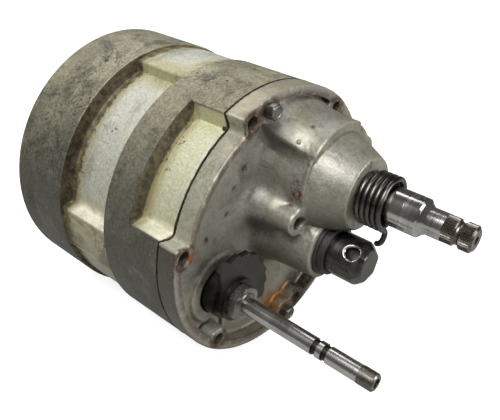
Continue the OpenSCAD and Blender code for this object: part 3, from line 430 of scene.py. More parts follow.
# ---- inner cover ----
def cover_field(x, y, z):
    """Negative inside the inner cover: rounded unions of its rim, lugs, dome and bosses, less its holes."""
    drum = np.hypot(y, z)

    def off(axis):
        return np.hypot(y - axis[0], z - axis[1])

    screws, bolts = from_nearest(y, z, SCREW_ANGLES), from_nearest(y, z, BOLT_ANGLES)
    plate = np.maximum(x - FACE_X, drum - DRUM_R)
    ring = np.maximum(RIM_INNER_R - drum, drum - DRUM_R)
    pocket_wall = np.maximum(np.maximum(WALL_INNER_R - drum, drum - DRUM_R),
                             wedge(y, z, (0, 0), FRONT_POCKET[0] - 3, FRONT_POCKET[1] + 3))
    rim = smooth_min(ring, pocket_wall, 3.0)
    rim = smooth_min(rim, screws - LUG_R, 3.0)
    rim = smooth_min(rim, bolts - LUG_R, 2.5)
    rim = smooth_max(rim, x, 0.5)
    body = smooth_min(plate, rim, 3.0)
    # Dome: a round wall with a thin lip and a wide hollow foot, then a cone
    from_kick, from_dome = off(KICK_AXIS), off(DOME_AXIS)
    wall = np.maximum(from_dome - DOME_R + 0.6, x - DOME_STEP_X + 0.3)
    lip = np.maximum(np.maximum(from_dome - DOME_R, x - DOME_STEP_X), DOME_STEP_X - 1.6 - x)
    along = np.clip((x - DOME_STEP_X) / (DOME_FACE_X - DOME_STEP_X), 0, 1)
    cone_r = DOME_CONE_R + (DOME_FACE_R - DOME_CONE_R) * along + 0.6 * np.sin(along * np.pi)
    cone = smooth_max((from_kick - cone_r) * 0.93, x - DOME_FACE_X, 0.9)
    cone = np.maximum(cone, DOME_STEP_X - 7 - x)
    # Boss of the output shaft
    from_output = off(OUTPUT_AXIS)
    boss_r = np.interp(x, [-12.7, 4, OUTPUT_BOSS_X], [27.6, 22.6, 20.6])
    boss = smooth_max(from_output - boss_r, x - OUTPUT_BOSS_X, 1.4)
    foot = smooth_min(plate, wall, 14.0)
    foot = smooth_min(foot, boss, 7.0)
    # Skirt: a flank from the shoulder to the rim, steep on the right, cut off on the left by a wall
    turn = np.degrees(np.arctan2(z - DOME_AXIS[1], y - DOME_AXIS[0]))
    flare = 4 + 17 * smooth_step(38, 114, turn)
    down = np.clip((24.2 - x) / 34, 0, 1.1)
    slant = flare * 1.7 * down ** 0.7 / 34
    skirt = (from_dome - 33.1 - flare * down ** 1.7) / np.sqrt(1 + slant * slant)
    ridge = beside_ridge(y, z)
    skirt = smooth_max(skirt, -ridge - 0.10 * (24 - x), 1.4)
    skirt = smooth_max(skirt, x - DOME_STEP_X + 0.6, 1.5)
    skirt = np.maximum(skirt, wedge(y, z, DOME_AXIS, -40, 170))
    by_lug = off(polar(SCREW_CIRCLE_R, SCREW_ANGLES[0]))
    skirt = smooth_max(skirt, -np.maximum(by_lug - LUG_R - 1.2 - 0.2 * np.clip(x, 0, None), -0.6 - x), 2.0)
    foot = smooth_min(foot, skirt, 3.0 + 5.0 * smooth_step(-6, 12, ridge))
    foot = np.maximum(foot, drum - RIM_INNER_R - 1.0)
    body = smooth_min(body, foot, 2.0)
    body = np.minimum(body, lip)
    body = np.minimum(body, cone)
    # Boss with the blind hole, and the raised round ring at the selector sleeve's mouth
    hole_boss = smooth_max(off(HOLE_BOSS) - 8.4 - 0.036 * (HOLE_BOSS_X - x), x - HOLE_BOSS_X, 1.2)
    body = smooth_min(body, hole_boss, 13.0 - 8.0 * smooth_step(6, 16, x))
    from_input = off(INPUT_AXIS)
    raised = smooth_max(from_input - SLEEVE_R - 7.2, x - FACE_X - 2.2, 1.2)
    body = smooth_min(body, raised, 3.5)
    inner_boss = np.maximum(np.minimum(from_input - SLEEVE_R - 4, off(SELECTOR_AXIS) - 10.0), x - FACE_X)
    body = np.where(x > COVER_BACK_X, body, inner_boss)
    body = np.maximum(body, COVER_BACK_X - 4.6 - x)
    body = np.maximum(body, np.where(x > COVER_BACK_X, -1e3, COVER_BACK_X - x + np.where(inner_boss < 0, -1e3, 0)))
    body = np.maximum(body, drum - DRUM_R)
    # Pocket, holes and seats
    pocket = smooth_max(wedge(y, z, (0, 0), *FRONT_POCKET), FRONT_POCKET_R - drum, 4.0)
    body = smooth_max(body, -pocket, 0.8)
    body = smooth_max(body, SCREW_HOLE_R - screws, 0.5)
    by_lug = off(polar(SCREW_CIRCLE_R, SCREW_ANGLES[3]))
    recess = np.maximum(np.maximum(by_lug - LUG_R - 4.5, drum - RIM_INNER_R + 1), FACE_X - 1.9 - x)
    body = smooth_max(body, -np.maximum(recess, LUG_R - by_lug), 1.2)
    mouth = np.maximum(from_input - SLEEVE_R - 0.9, FACE_X - 2 - x)
    body = smooth_max(body, -np.minimum(mouth, from_input - SLEEVE_R - 0.05), 0.7)
    seats = np.minimum.reduce([np.maximum(off(axis) - radius, side * (end - x))
                               for axis, radius, end, side in BORES])
    return smooth_max(body, -seats, 0.5)


# Marks on the cover, each with its place and its radius in millimetres
STAINS = {
    "red": [(18, -8, 39, 3.5), (19, -8, 36, 3.5), (20, -8, 33, 4.5), (17, -7.5, 25, 4), (12.5, -5, 19, 3),
            (24, 2, 18, 1.5)],
    "rust": [(-9.5, 7, -75, 12), (-9.5, -2, -79, 7), (-9.5, 17, -72, 7), (0, -72, 16, 4), (0, -76, -12, 5)],
    "dirt": [(-9.5, -1, 29, 5), (-9.5, -4, 22, 7), (-9.5, -36, 21, 2), (-5, 30, -71, 12), (-5, 40, -64, 10),
             (-9.5, -53, 12, 2.5), (14, 11, 67, 1.6), (-4, 44, 66, 5), (-9.5, -20, 45, 3), (-9.5, -30, 36, 2)],
}


def stain(points, spots, seed):
    """How strongly a point is marked: a ragged round spot about each place, by distance and noise."""
    shift = 0.35 * value_noise(points, 3.0, seed) + 0.2 * value_noise(points, 1.3, seed + 1)
    total = np.zeros(len(points))
    for px, py, pz, radius in spots:
        far = np.linalg.norm(points - np.array([px, py, pz]), axis=1) / radius
        total = np.maximum(total, smooth_step(1.25, 0.45, far + shift))
    return total


def cover():
    """The inner cover as the zero surface of its field, with masks for dirt, painted shade, edges and sealant.

    It bulges where the field's mean round a point is above zero, and is hollow where it is below.
    """
    points, faces = surface_of(cover_field, (-18.7, -89.0, -89.0), (49.0, 89.0, 89.0), 0.87)
    x, y, z = points.T
    reach = 1.6
    around = [points + side * reach * np.eye(3)[k] for k in range(3) for side in (-1, 1)]
    bulge = sum(cover_field(*place.T) for place in around) / (6 * reach)
    drum = np.hypot(y, z)
    angle = np.degrees(np.arctan2(z, y)) % 360
    on_rim = within(x, -2.4, -0.4, 0.4, 1.2)
    lugs = smooth_step(9.5, 6.0, from_nearest(y, z, SCREW_ANGLES))
    lugs = on_rim * np.clip(lugs + 0.7 * smooth_step(9.5, 6.5, from_nearest(y, z, BOLT_ANGLES)), 0, 1)
    edge = on_rim * smooth_step(4.5, 1.0, np.abs(drum - RIM_INNER_R))
    pocket_edge = on_rim * smooth_step(5, 1.5, np.abs(drum - 74.6)) * within(angle, 104, 112, 162, 170)
    sealant = np.clip(lugs + 0.75 * edge + 0.6 * pocket_edge, 0, 1)
    outside = smooth_step(DRUM_R - 1.2, DRUM_R - 0.3, drum)
    in_pocket = smooth_step(FRONT_POCKET_R - 0.6, FRONT_POCKET_R + 0.2, drum)
    in_pocket = in_pocket * (angle > FRONT_POCKET[0] - 1) * (angle < FRONT_POCKET[1] + 1)
    marks = {name: stain(points, spots, 20 + k) for k, (name, spots) in enumerate(STAINS.items())}
    # Painted shade: undersides are darker, and so is the wall left of the ridge, with the shadow that the ridge
    # casts onto the dome
    normal = slope_of(cover_field, points)
    under = smooth_step(-0.1, 0.75, normal[:, 1] * -0.34 + normal[:, 2] * -0.94)
    under = under * smooth_step(-8.5, -5, x) * smooth_step(RIM_INNER_R, RIM_INNER_R - 3, drum)
    ridge_shadow_wall = smooth_step(5.5, 1.5, np.abs(beside_ridge(y, z) + 2.5)) * within(x, -8, -3, 18, 24)
    ridge_shadow_wall = ridge_shadow_wall * (z > 45) * (y < 20)
    ridge_shadow_wall = ridge_shadow_wall * smooth_step(0.15, -0.25, normal[:, 1] * 0.92 + normal[:, 2] * 0.39)
    # hollow darkens the hollows as painted shade and grime; under is painted shade on undersides and left of the
    # ridge
    piece = make_piece("cover", points, faces, "casing",
                       {**marks, "under": np.maximum(under, ridge_shadow_wall), "low": lower_side_shade_and_dirt(angle),
                        "edge": np.clip(bulge * 3.2, 0, 1), "hollow": np.clip(-bulge * 3.0, 0, 1),
                        "sealant": sealant, "outside": outside, "pocket": in_pocket}, 40)
    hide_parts("inner_cover")
    return piece


def gasket_bead():
    """Sealer squeezed out of the joint: a bead round the drum that dips into the pocket, uneven in thickness."""
    start, end = FRONT_POCKET
    up_wall = np.linspace(FRONT_POCKET_R + 0.4, DRUM_R, 12)
    outline = [polar(DRUM_R - 0.12, a) for a in np.arange(end + 0.9, 360 + start - 0.9, 0.7)]
    outline += [polar(r, start) for r in up_wall[::-1]]
    outline += [polar(FRONT_POCKET_R + 0.05, a) for a in np.arange(start + 0.3, end - 0.2, 0.7)]
    outline += [polar(r, end) for r in up_wall]
    line = resampled(np.array(outline + outline[:1]), lambda walk: np.arange(0, walk[-1], 0.8))
    path = np.column_stack([np.full(len(line), 0.5 * (SHELL_FRONT_X + COVER_BACK_X)), line])
    inside = smooth_step(DRUM_R - 0.3, DRUM_R - 4, np.hypot(line[:, 0], line[:, 1]))
    thick = 0.26 + 0.08 * value_noise(path, 5, 3)
    thick = thick + inside * (0.18 + 0.26 * value_noise(path, 7, 5) + 0.22 * value_noise(path, 2.2, 6))
    for a in FRONT_POCKET:
        corner = polar(FRONT_POCKET_R + 0.3, a)
        thick = thick + 0.75 * np.exp(-(np.hypot(*(line - corner).T) / 1.8) ** 2)
    path[:, 0] += inside * 0.25 * value_noise(path, 9, 8)
    points, faces = swept_tube(path, np.clip(thick, 0.15, None), 10)
    return make_piece("gasket_bead", points, faces, "casing")


def box_round(axis, radius, x0, x1, margin=1.5):
    """Lowest and highest corner of a box round a bar along X."""
    return ((x0 - margin, axis[0] - radius - margin, axis[1] - radius - margin),
            (x1 + margin, axis[0] + radius + margin, axis[1] + radius + margin))


def cover_bolt(angle, name):
    """A worn hexagon bolt: the head is the larger of six flat distances and a round one, softly joined."""
    axis = polar(SCREW_CIRCLE_R, angle)
    flat, corner, height, dish_r, shank_r, shank_x = 4.5, 4.75, 5.9, 2.6, 3.5, -22

    def field(x, y, z):
        y, z = y - axis[0], z - axis[1]
        far = np.hypot(y, z)
        head = smooth_max(smooth_max(hexagon(y, z, angle) - flat, far - corner, 0.6), x - height, 1.3)
        head = np.maximum(head, 0.15 - x)
        head = smooth_max(head, -np.maximum(far - dish_r, height - 0.3 - x), 0.8)
        return np.minimum(head, np.maximum(np.maximum(far - shank_r, x - 0.6), shank_x - x))

    points, faces = surface_of(field, *box_round(axis, 5.0, shank_x, 6), 0.4)
    return make_piece(name, points, faces, "casing", None, 38)


def coupling():
    """The output's nose: a bar with a cone worn into six faint flats, and a countersunk cross hole.

    A keyway runs along its underside.
    """
    cone_x, bore_r, key_angle = 56.4, 9.0, 222

    def field(x, y, z):
        y, z = y - OUTPUT_AXIS[0], z - OUTPUT_AXIS[1]
        far = np.hypot(y, z)
        slope = 0.85 * (x - cone_x)
        body = smooth_max(far - NOSE_R, hexagon(y, z, 36) - 13.6 + slope, 0.5)
        body = smooth_max(body, (far - 14.6 + slope) * 0.76, 0.6)
        body = smooth_max(body, x - NOSE_END_X, 0.8)
        body = np.maximum(body, NOSE_START_X - x)
        body = np.maximum(body, np.minimum(bore_r - far, NOSE_END_X - 6 - x))
        hole = np.hypot(x - CROSS_HOLE_X, along(y, z, CROSS_HOLE_ANGLE + 90))
        outwards = np.abs(along(y, z, CROSS_HOLE_ANGLE))
        body = smooth_max(body, CROSS_HOLE_R + 0.9 * np.clip(outwards - 12.1, 0, None) - hole, 0.35)
        key = np.maximum(np.abs(along(y, z, key_angle - 90)) - 1.6, 11.1 - along(y, z, key_angle))
        return smooth_max(body, -np.maximum(key, np.abs(x - NOSE_START_X - 12) - 6), 0.3)

    points, faces = surface_of(field, *box_round(OUTPUT_AXIS, NOSE_R, NOSE_START_X, NOSE_END_X), 0.42)
    x, y, z = points.T
    y, z = y - OUTPUT_AXIS[0], z - OUTPUT_AXIS[1]
    from_hole = np.hypot(x - CROSS_HOLE_X, along(y, z, CROSS_HOLE_ANGLE + 90))
    far = np.hypot(y, z)
    # Painted shade: the cross hole's wall is painted near black
    bore = smooth_step(4.9, 4.4, from_hole) * smooth_step(13.1, 12.5, far)
    bright = within(from_hole, 4.0, 4.3, 5.1, 5.5) * smooth_step(12.2, 12.9, far)
    bright = np.maximum(bright, smooth_step(0.9, 0.3, np.abs(x - NOSE_START_X - 1.2)) * 0.6)
    piece = make_piece("output_nose", points, faces, "output", {"bright": bright, "bore": bore}, 34)
    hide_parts("output_coupling")
    return piece


# ---- kick-start return spring ----
def return_spring():
    """Torsion spring: a helix of round wire whose last turn leaves straight and bends into a hook."""
    wire, outside, turns = 1.65, 16.8, 4.4
    coil = outside - wire
    pitch = 2 * wire + 0.1
    t = np.linspace(0, turns, int(turns * 56))
    angle = np.radians(236 - 360 * (turns - t))
    helix = np.stack([DOME_FACE_X + wire + 0.2 + pitch * t, KICK_AXIS[0] + coil * np.cos(angle),
                      KICK_AXIS[1] + coil * np.sin(angle)], 1)
    hook = helix[-1] + np.array([[0.2, 2.2, -1.4], [0.2, 3.2, -3.6], [0, 3, -6.4], [-0.4, 2.2, -9.2],
                                 [-1.8, 1.8, -11.4], [-4, 2.4, -12.6]])
    knots = np.vstack([helix[-8], helix[-1], hook])
    leg = resampled(knots, lambda walk: np.linspace(walk[1], walk[-1], 40)[1:])
    for _ in range(6):  # rounds the hook's bends
        leg[1:-1] = 0.25 * leg[:-2] + 0.5 * leg[1:-1] + 0.25 * leg[2:]
    points, faces = swept_tube(np.vstack([helix, leg]), wire, 18)
    piece = make_piece("return_spring", points, faces, "casing")
    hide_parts("kickstart_return_spring")
    return piece


# ---- materials ----
def linear(code):
    """Colour code as written, #rrggbb, to linear red, green, blue and full alpha."""
    values = [int(code[i:i + 2], 16) / 255 for i in (1, 3, 5)]
    return [v / 12.92 if v <= 0.04045 else ((v + 0.055) / 1.055) ** 2.4 for v in values] + [1.0]


def node_group(name, numbers, outputs):
    """An empty node group with a Vector and named numbers going in, and named numbers coming out."""
    group = bpy.data.node_groups.new(name, "ShaderNodeTree")
    group.interface.new_socket("Vector", in_out="INPUT", socket_type="NodeSocketVector")
    for label, value in numbers.items():
        group.interface.new_socket(label, in_out="INPUT", socket_type="NodeSocketFloat").default_value = value
    for label in outputs:
        group.interface.new_socket(label, in_out="OUTPUT", socket_type="NodeSocketFloat")
    return Sheet(group), group.nodes.new("NodeGroupInput").outputs, group.nodes.new("NodeGroupOutput").inputs


class Sheet:
    """Adds and wires nodes in one tree, so that a material reads as a list of steps.

    Wherever a step takes a value it also takes another node's output, and for a colour its code.
    """

    def __init__(self, tree):
        self.tree = tree

    def put(self, socket, value):
        if isinstance(value, bpy.types.NodeSocket):
            self.tree.links.new(value, socket)
        else:
            socket.default_value = linear(value) if isinstance(value, str) else value

    def node(self, kind, inputs=None, **settings):
        node = self.tree.nodes.new(kind)
        for key, value in settings.items():
            setattr(node, key, value)
        for key, value in (inputs or {}).items():
            self.put(node.inputs[key], value)
        return node

    def noise(self, vector, scale, detail, rough, warp=0.0):
        inputs = {"Vector": vector, "Scale": scale, "Detail": detail, "Roughness": rough, "Distortion": warp}
        return self.node("ShaderNodeTexNoise", inputs).outputs["Fac"]

    def stretch(self, vector, scale, turn=(0, 0, 0)):
        inputs = {"Vector": vector, "Scale": scale, "Rotation": turn}
        return self.node("ShaderNodeMapping", inputs).outputs["Vector"]

    def band(self, value, low, high, out_low=0.0, out_high=1.0):
        """A value run smoothly from out_low, where it is low, to out_high, where it is high."""
        inputs = {"Value": value, "From Min": low, "From Max": high, "To Min": out_low, "To Max": out_high}
        return self.node("ShaderNodeMapRange", inputs, interpolation_type="SMOOTHSTEP").outputs["Result"]

    def calc(self, kind, a, b, clamp=True):
        return self.node("ShaderNodeMath", {0: a, 1: b}, operation=kind, use_clamp=clamp).outputs[0]

    def times(self, a, b):
        return self.calc("MULTIPLY", a, b)

    def plus(self, a, b):
        return self.calc("ADD", a, b, clamp=False)

    def mask(self, name):
        return self.node("ShaderNodeAttribute", attribute_name=name).outputs["Fac"]

    def mix(self, amount, a, b, blend="MIX"):
        return self.node("ShaderNodeMix", {0: amount, 6: a, 7: b}, data_type="RGBA", blend_type=blend).outputs[2]

    def lay(self, base, mask, amount, tint):
        """A tint over a colour, as strong as a mask, or the piece's mask of that name, times an amount."""
        mask = self.mask(mask) if isinstance(mask, str) else mask
        return self.mix(self.times(mask, amount), base, tint)

    def blotch(self, base, place, noise, edges, amount, tint):
        """A tint over a colour in the patches where a noise rises past its edges."""
        return self.lay(base, self.band(self.noise(place, *noise), *edges), amount, tint)

    def dim(self, base, amount, grain, dark):
        """A colour multiplied by a grain that runs from dark to white."""
        return self.mix(amount, base, self.mix(grain, dark, "#ffffff"), "MULTIPLY")

    def group(self, tree, **inputs):
        return self.node("ShaderNodeGroup", inputs, node_tree=tree).outputs


def mottling_group():
    """Broad and fine patchiness of old metal. Out: a patch value round 0.5 and a fine grain."""
    s, into, out = node_group("mottling", {"Size": 1.0}, ["Patch", "Fine"])
    scaled = s.node("ShaderNodeVectorMath", {0: into["Vector"], "Scale": into["Size"]}, operation="SCALE")
    vector = scaled.outputs[0]
    s.put(out["Patch"], s.band(s.noise(vector, 46, 9, 0.68, 0.35), 0.32, 0.68))
    s.put(out["Fine"], s.band(s.noise(vector, 480, 7, 0.74), 0.3, 0.7))
    return s.tree


def pitting_group():
    """Small dark pits and specks, gathered in clusters. Out: a mask of the pits, and a height."""
    s, into, out = node_group("pitting", {"Amount": 0.5}, ["Pits", "Height"])
    specks = s.noise(into["Vector"], 560, 3, 0.6)
    cluster = s.band(s.noise(into["Vector"], 38, 5, 0.7), 0.47, 0.68)
    least = s.calc("SUBTRACT", 0.73, s.times(cluster, s.times(into["Amount"], 0.2)))
    pits = s.band(specks, least, s.calc("ADD", least, 0.05))
    s.put(out["Pits"], pits)
    s.put(out["Height"], s.calc("SUBTRACT", 1.0, pits))
    return s.tree


def streak_group():
    """Fine scratches or turning marks: noise drawn out along one direction. Out: a value round 0.5."""
    s, into, out = node_group("streaks", {}, ["Streak"])
    s.put(out["Streak"], s.band(s.noise(into["Vector"], 1.0, 5, 0.65), 0.3, 0.7))
    return s.tree


def new_material(name, metallic):
    """A new material with its shader, its Sheet, and the place in object coordinates."""
    material = bpy.data.materials.new(name)
    material.use_nodes = True
    shader = material.node_tree.nodes["Principled BSDF"]
    shader.inputs["Metallic"].default_value = metallic
    sheet = Sheet(material.node_tree)
    return material, sheet, shader, sheet.node("ShaderNodeTexCoord").outputs["Object"]


def wire_up(sheet, shader, colour, rough, height, strength, distance):
    """Give a shader its colour, its roughness and the relief of a height."""
    inputs = {"Strength": strength, "Distance": distance, "Height": height}
    relief = sheet.node("ShaderNodeBump", inputs).outputs["Normal"]
    for label, value in (("Base Color", colour), ("Roughness", rough), ("Normal", relief)):
        sheet.put(shader.inputs[label], value)


MOTTLING, PITTING, STREAKS = mottling_group(), pitting_group(), streak_group()


def shell_finish():
    """Old cast drum: dull turned bands, darker down the side as painted shade and dirt, and paler pockets with
    dirty, shade-painted rear walls and painted highlights on their steps.
    """
    material, s, shader, place = new_material("aged_shell_casting", 0.25)
    patch, fine = s.group(MOTTLING, Vector=place, Size=1.0)[:2]
    speckle = s.plus(fine, s.band(s.noise(place, 820, 6, 0.8), 0.34, 0.66))
    broad = s.band(s.noise(place, 13, 6, 0.66, 0.6), 0.36, 0.64)
    turned = s.group(STREAKS, Vector=s.stretch(place, (1300, 16, 16)))[0]
    grain = s.plus(s.times(speckle, 0.42), s.times(turned, 0.16))
    # Machined bands, darker down the lower and left side as painted shade with some dirt, with light patches,
    # clouds, stains and freckles
    band = s.mix(s.mask("low"), s.mix(broad, "#969179", "#b3ae95"), s.mix(broad, "#55544b", "#6c6b5c"))
    band = s.blotch(band, place, (34, 9, 0.8, 0.5), (0.50, 0.64), s.band(s.mask("low"), 0, 1, 0.4, 0.55),
                    s.mix(patch, "#a39c84", "#8e8d79"))
    band = s.blotch(band, place, (11, 7, 0.7, 0.8), (0.46, 0.6), 0.38, "#4c4a46")
    band = s.blotch(band, place, (36, 10, 0.8, 0.8), (0.50, 0.62), 0.62, s.mix(patch, "#3f3d3a", "#4d4a44"))
    band = s.blotch(band, place, (130, 9, 0.82), (0.54, 0.64), 0.6, "#453e33")
    band = s.dim(band, 0.85, s.band(grain, 0.15, 0.85), "#9a978f")
    # Cast waist, pad and pockets
    pale = s.lay(s.mix(s.mask("edge"), "#d3d6cd", "#beb98f"), patch, 0.4, "#dedbc2")
    pale = s.blotch(pale, s.stretch(place, (95, 22, 22)), (1.0, 9, 0.75, 0.4), (0.5, 0.66), 0.55, "#8a8468")
    pale = s.blotch(pale, place, (40, 8, 0.76, 0.4), (0.44, 0.66), 0.3, "#8f8f88")
    pale = s.lay(pale, "front", 0.6, "#e4e4bd")
    # Painted shade with some dirt: the pockets are darker down the lower side
    pale = s.lay(pale, "low", 0.3, "#989786")
    pad_patch = s.band(s.noise(place, 55, 9, 0.8, 0.5), 0.44, 0.6)
    pale = s.lay(pale, "pad", 0.8, s.mix(pad_patch, "#beb697", "#7c6d50"))
    pale = s.dim(pale, 0.8, s.times(speckle, 0.5), "#aaa69a")
    # Painted highlight: a pale cream streak along each pocket's lower step
    pale = s.lay(pale, "step", s.band(s.noise(place, 65, 8, 0.76), 0.34, 0.62, 0.25, 0.8), "#f0ecd9")
    pale = s.lay(pale, s.band(s.mask("grime"), 0.05, 0.8), 0.75, "#8a8059")
    colour = s.mix(s.mask("cast"), band, pale)
    # Crust of dirt, ragged on the floors by the rear walls and solid on the walls, where the dark colour is also
    # painted shade
    crust = s.noise(place, 210, 9, 0.8)
    ragged = s.calc("SUBTRACT", s.noise(place, 110, 9, 0.76), 0.5, clamp=False)
    ragged = s.calc("MULTIPLY", ragged, 1.5, clamp=False)
    least = s.band(s.mask("front"), 0, 1, 0.5, 0.8)
    reach = s.calc("SUBTRACT", s.plus(s.mask("grime"), ragged), least, clamp=False)
    dirty = s.times(s.band(reach, -0.02, 0.14), s.band(s.mask("grime"), 0.2, 0.4))
    colour = s.lay(colour, dirty, 0.92, s.mix(s.band(crust, 0.40, 0.62), "#332c1e", "#776a4b"))
    # Dirt crust and painted shade on the rear walls
    colour = s.lay(colour, s.band(s.mask("wall"), 0.3, 0.7), 0.9,
                   s.mix(s.band(crust, 0.42, 0.6), "#2a2419", "#574d36"))
    pits, rise = s.group(PITTING, Vector=place, Amount=1.0)[:2]
    colour = s.lay(colour, pits, 0.85, "#23201b")
    height = s.plus(s.times(grain, 0.6), s.times(rise, 0.4))
    wire_up(s, shader, colour, s.band(grain, 0.0, 1.0, 0.4, 0.62), height, 0.5, 0.0006)
    return material


def cover_finish():
    """Oil-stained cast cover: mid grey, pale on the dome, red-brown sealant on the lugs and rim."""
    material, s, shader, place = new_material("stained_cover_casting", 0.5)
    patch, fine = s.group(MOTTLING, Vector=place, Size=0.8)[:2]
    grain = s.times(s.plus(fine, s.band(s.noise(place, 1000, 4, 0.7), 0.3, 0.7)), 0.5)
    grey = s.mix(patch, "#8b8a83", "#acaba2")
    grey = s.blotch(grey, place, (20, 6, 0.66, 0.8), (0.36, 0.66), 0.55, "#87805f")
    scratch = s.group(STREAKS, Vector=s.stretch(place, (240, 60, 900), (0.5, 0, 0)))[0]
    grey = s.lay(grey, s.band(scratch, 0.5, 1.0), 0.12, "#c2c0b6")
    grey = s.blotch(grey, place, (50, 9, 0.74, 0.8), (0.54, 0.64), 0.5, "#575145")
    grey = s.blotch(grey, place, (180, 8, 0.78), (0.57, 0.66), 0.45, "#544c3e")
    # Painted shade with some dirt: the cover's outer side is darker down the lower side
    outside = s.mix(s.mask("low"), s.mix(patch, "#958c79", "#b4ac97"), "#524c43")
    in_pocket = s.mix(patch, "#b3b19b", "#d2d0bc")
    # hollow and under lay painted shade, hollow with grime as well
    for mask, amount, tint in (("edge", 0.4, "#bcb9a8"), ("hollow", 0.65, "#544f45"), ("under", 0.6, "#4b4a41"),
                               ("outside", 0.9, outside), ("pocket", 0.9, in_pocket)):
        grey = s.lay(grey, mask, amount, tint)
    grey = s.dim(grey, 0.7, grain, "#aeaba4")
    sealant = s.times(s.mask("sealant"), s.band(s.noise(place, 140, 8, 0.72), 0.36, 0.52))
    colour = s.lay(grey, sealant, 0.95, s.mix(fine, "#2e1d19", "#5d4037"))
    speckle = s.noise(place, 400, 6, 0.78)
    for mark, tint, strength, least in (("red", "#54201f", 0.9, 0.47), ("rust", "#84501f", 0.9, 0.36),
                                        ("dirt", "#2e2419", 0.82, 0.38)):
        spots = s.times(s.mask(mark), s.band(speckle, least, least + 0.09))
        colour = s.lay(colour, spots, strength, tint)
    colour = s.lay(colour, s.group(PITTING, Vector=place, Amount=0.75)[0], 0.85, "#2b2520")
    height = s.plus(s.times(grain, 0.4), s.times(sealant, 0.5))
    wire_up(s, shader, colour, s.band(grain, 0.0, 1.0, 0.33, 0.52), height, 0.35, 0.0005)
    return material


def steel_finish(name, dark, light, low_rough, high_rough, turned=900.0, oily=0.4, relief=0.03, dull_spans=()):
    """Turned steel: fine rings round the X axis, oily patches, and patchy gloss; worn bright where masked, and
    near black inside a masked hole as painted shade.

    Between the stations of each dull span, in metres, it is less glossy: brown where the span is
    wide, and black where it is a groove, painted shade in the groove.
    """
    material, s, shader, place = new_material(name, 1.0)
    patch, fine = s.group(MOTTLING, Vector=place, Size=1.4)[:2]
    rings = s.group(STREAKS, Vector=s.stretch(place, (turned, 6, 6)))[0]
    colour = s.mix(s.plus(s.times(patch, 0.55), s.times(rings, 0.45)), dark, light)
    colour = s.blotch(colour, place, (120, 8, 0.75), (0.56, 0.68), oily, "#2c2822")
    rough = s.band(s.plus(s.times(patch, 0.6), s.times(rings, 0.4)), 0.1, 0.9, low_rough, high_rough)
    station = s.node("ShaderNodeSeparateXYZ", {0: place}).outputs[0]
    fade, groove = 0.0003, 0.005
    for start, end in dull_spans:
        dull = s.times(s.band(station, start - fade, start + fade), s.band(station, end + fade, end - fade))
        # A narrow span is a groove, painted black as painted shade
        tint = s.mix(fine, "#3f3a33", "#7d786f") if end - start > groove else "#0d0c0b"
        colour = s.lay(colour, dull, 0.92, tint)
        rough = s.plus(rough, s.times(dull, 0.14))
    colour = s.lay(colour, "bright", 0.85, "#d8d6d0")
    # Painted shade: near black inside a masked hole
    colour = s.lay(colour, "bore", 0.95, "#0c0b0a")
    wire_up(s, shader, colour, rough, rings, relief, 0.00005)
    return material


def rubber_finish(name, colour, light, roughness):
    """Black sealer or moulded rubber with a dusty, uneven sheen."""
    material, s, shader, place = new_material(name, 0.0)
    patch, fine = s.group(MOTTLING, Vector=place, Size=2.5)[:2]
    rough = s.band(fine, 0, 1, roughness - 0.1, roughness + 0.15)
    wire_up(s, shader, s.mix(s.times(fine, patch), colour, light), rough, fine, 0.4, 0.0003)
    return material


FINISHES = {
    "shell_casting": shell_finish(),
    "cover_casting": cover_finish(),
    "gasket": rubber_finish("black_sealer", "#14110e", "#3a3128", 0.55),
    "seal_rubber": rubber_finish("seal_rubber", "#1b1a19", "#3a3835", 0.42),
    "fastener_steel": steel_finish("dull_fastener_steel", "#504d46", "#86837b", 0.3, 0.44, 200),
    "bearing_steel": steel_finish("ground_bearing_steel", "#8d8d8b", "#b9b9b7", 0.2, 0.35),
    "ball_steel": steel_finish("polished_balls", "#b5b5b4", "#d8d8d8", 0.08, 0.16, 60),
    "bronze": steel_finish("bronze_bush", "#7d6434", "#b39256", 0.3, 0.5),
    "spring_steel": steel_finish("blackened_spring_wire", "#3b3a37", "#6f6c67", 0.24, 0.38, 80),
    "shaft_steel": steel_finish("turned_shaft_steel", "#5f5f5c", "#93938f", 0.25, 0.45),
    "gear_steel": steel_finish("hardened_gear_steel", "#3f3f3d", "#6a6a66", 0.3, 0.5, 300),
    "dark_steel": steel_finish("blackened_steel", "#2f2e2c", "#55534f", 0.26, 0.42, 260),
    "fork_steel": steel_finish("forged_fork_steel", "#6c6a63", "#918e86", 0.4, 0.6, 120),
    "polished_steel": steel_finish("polished_rod_steel", "#a3a19d", "#c6c4bf", 0.2, 0.26, 40, 0.1, 0.0,
                                   [(0.0647, 0.0681), (0.0714, 0.0748), (0.0945, 1)]),
}
OWN_FINISHES = {
    "kickstart_shaft": steel_finish("polished_spindle_steel", "#96948f", "#cdcbc6", 0.15, 0.22, 300, 0.15, 0.006,
                                    [(0.0971, 1)]),
    "input_nut": steel_finish("bright_nut_steel", "#6f6c66", "#a6a39c", 0.24, 0.3, 60, 0.3, 0.0),
}
NOSE_FINISH = steel_finish("blackened_nose_steel", "#3a3936", "#6b6965", 0.22, 0.36, 260, 0.3, 0.02)


def dress(obj, finish):
    obj.data.materials.clear()
    obj.data.materials.append(finish)


slot_of = {row["node"]: row["material_slot"] for row in frame["record"]["subparts"]}
for node_name, node in frame["nodes"].items():
    for material_slot in node.material_slots:
        material_slot.material = OWN_FINISHES.get(node_name, FINISHES[slot_of[node_name]])

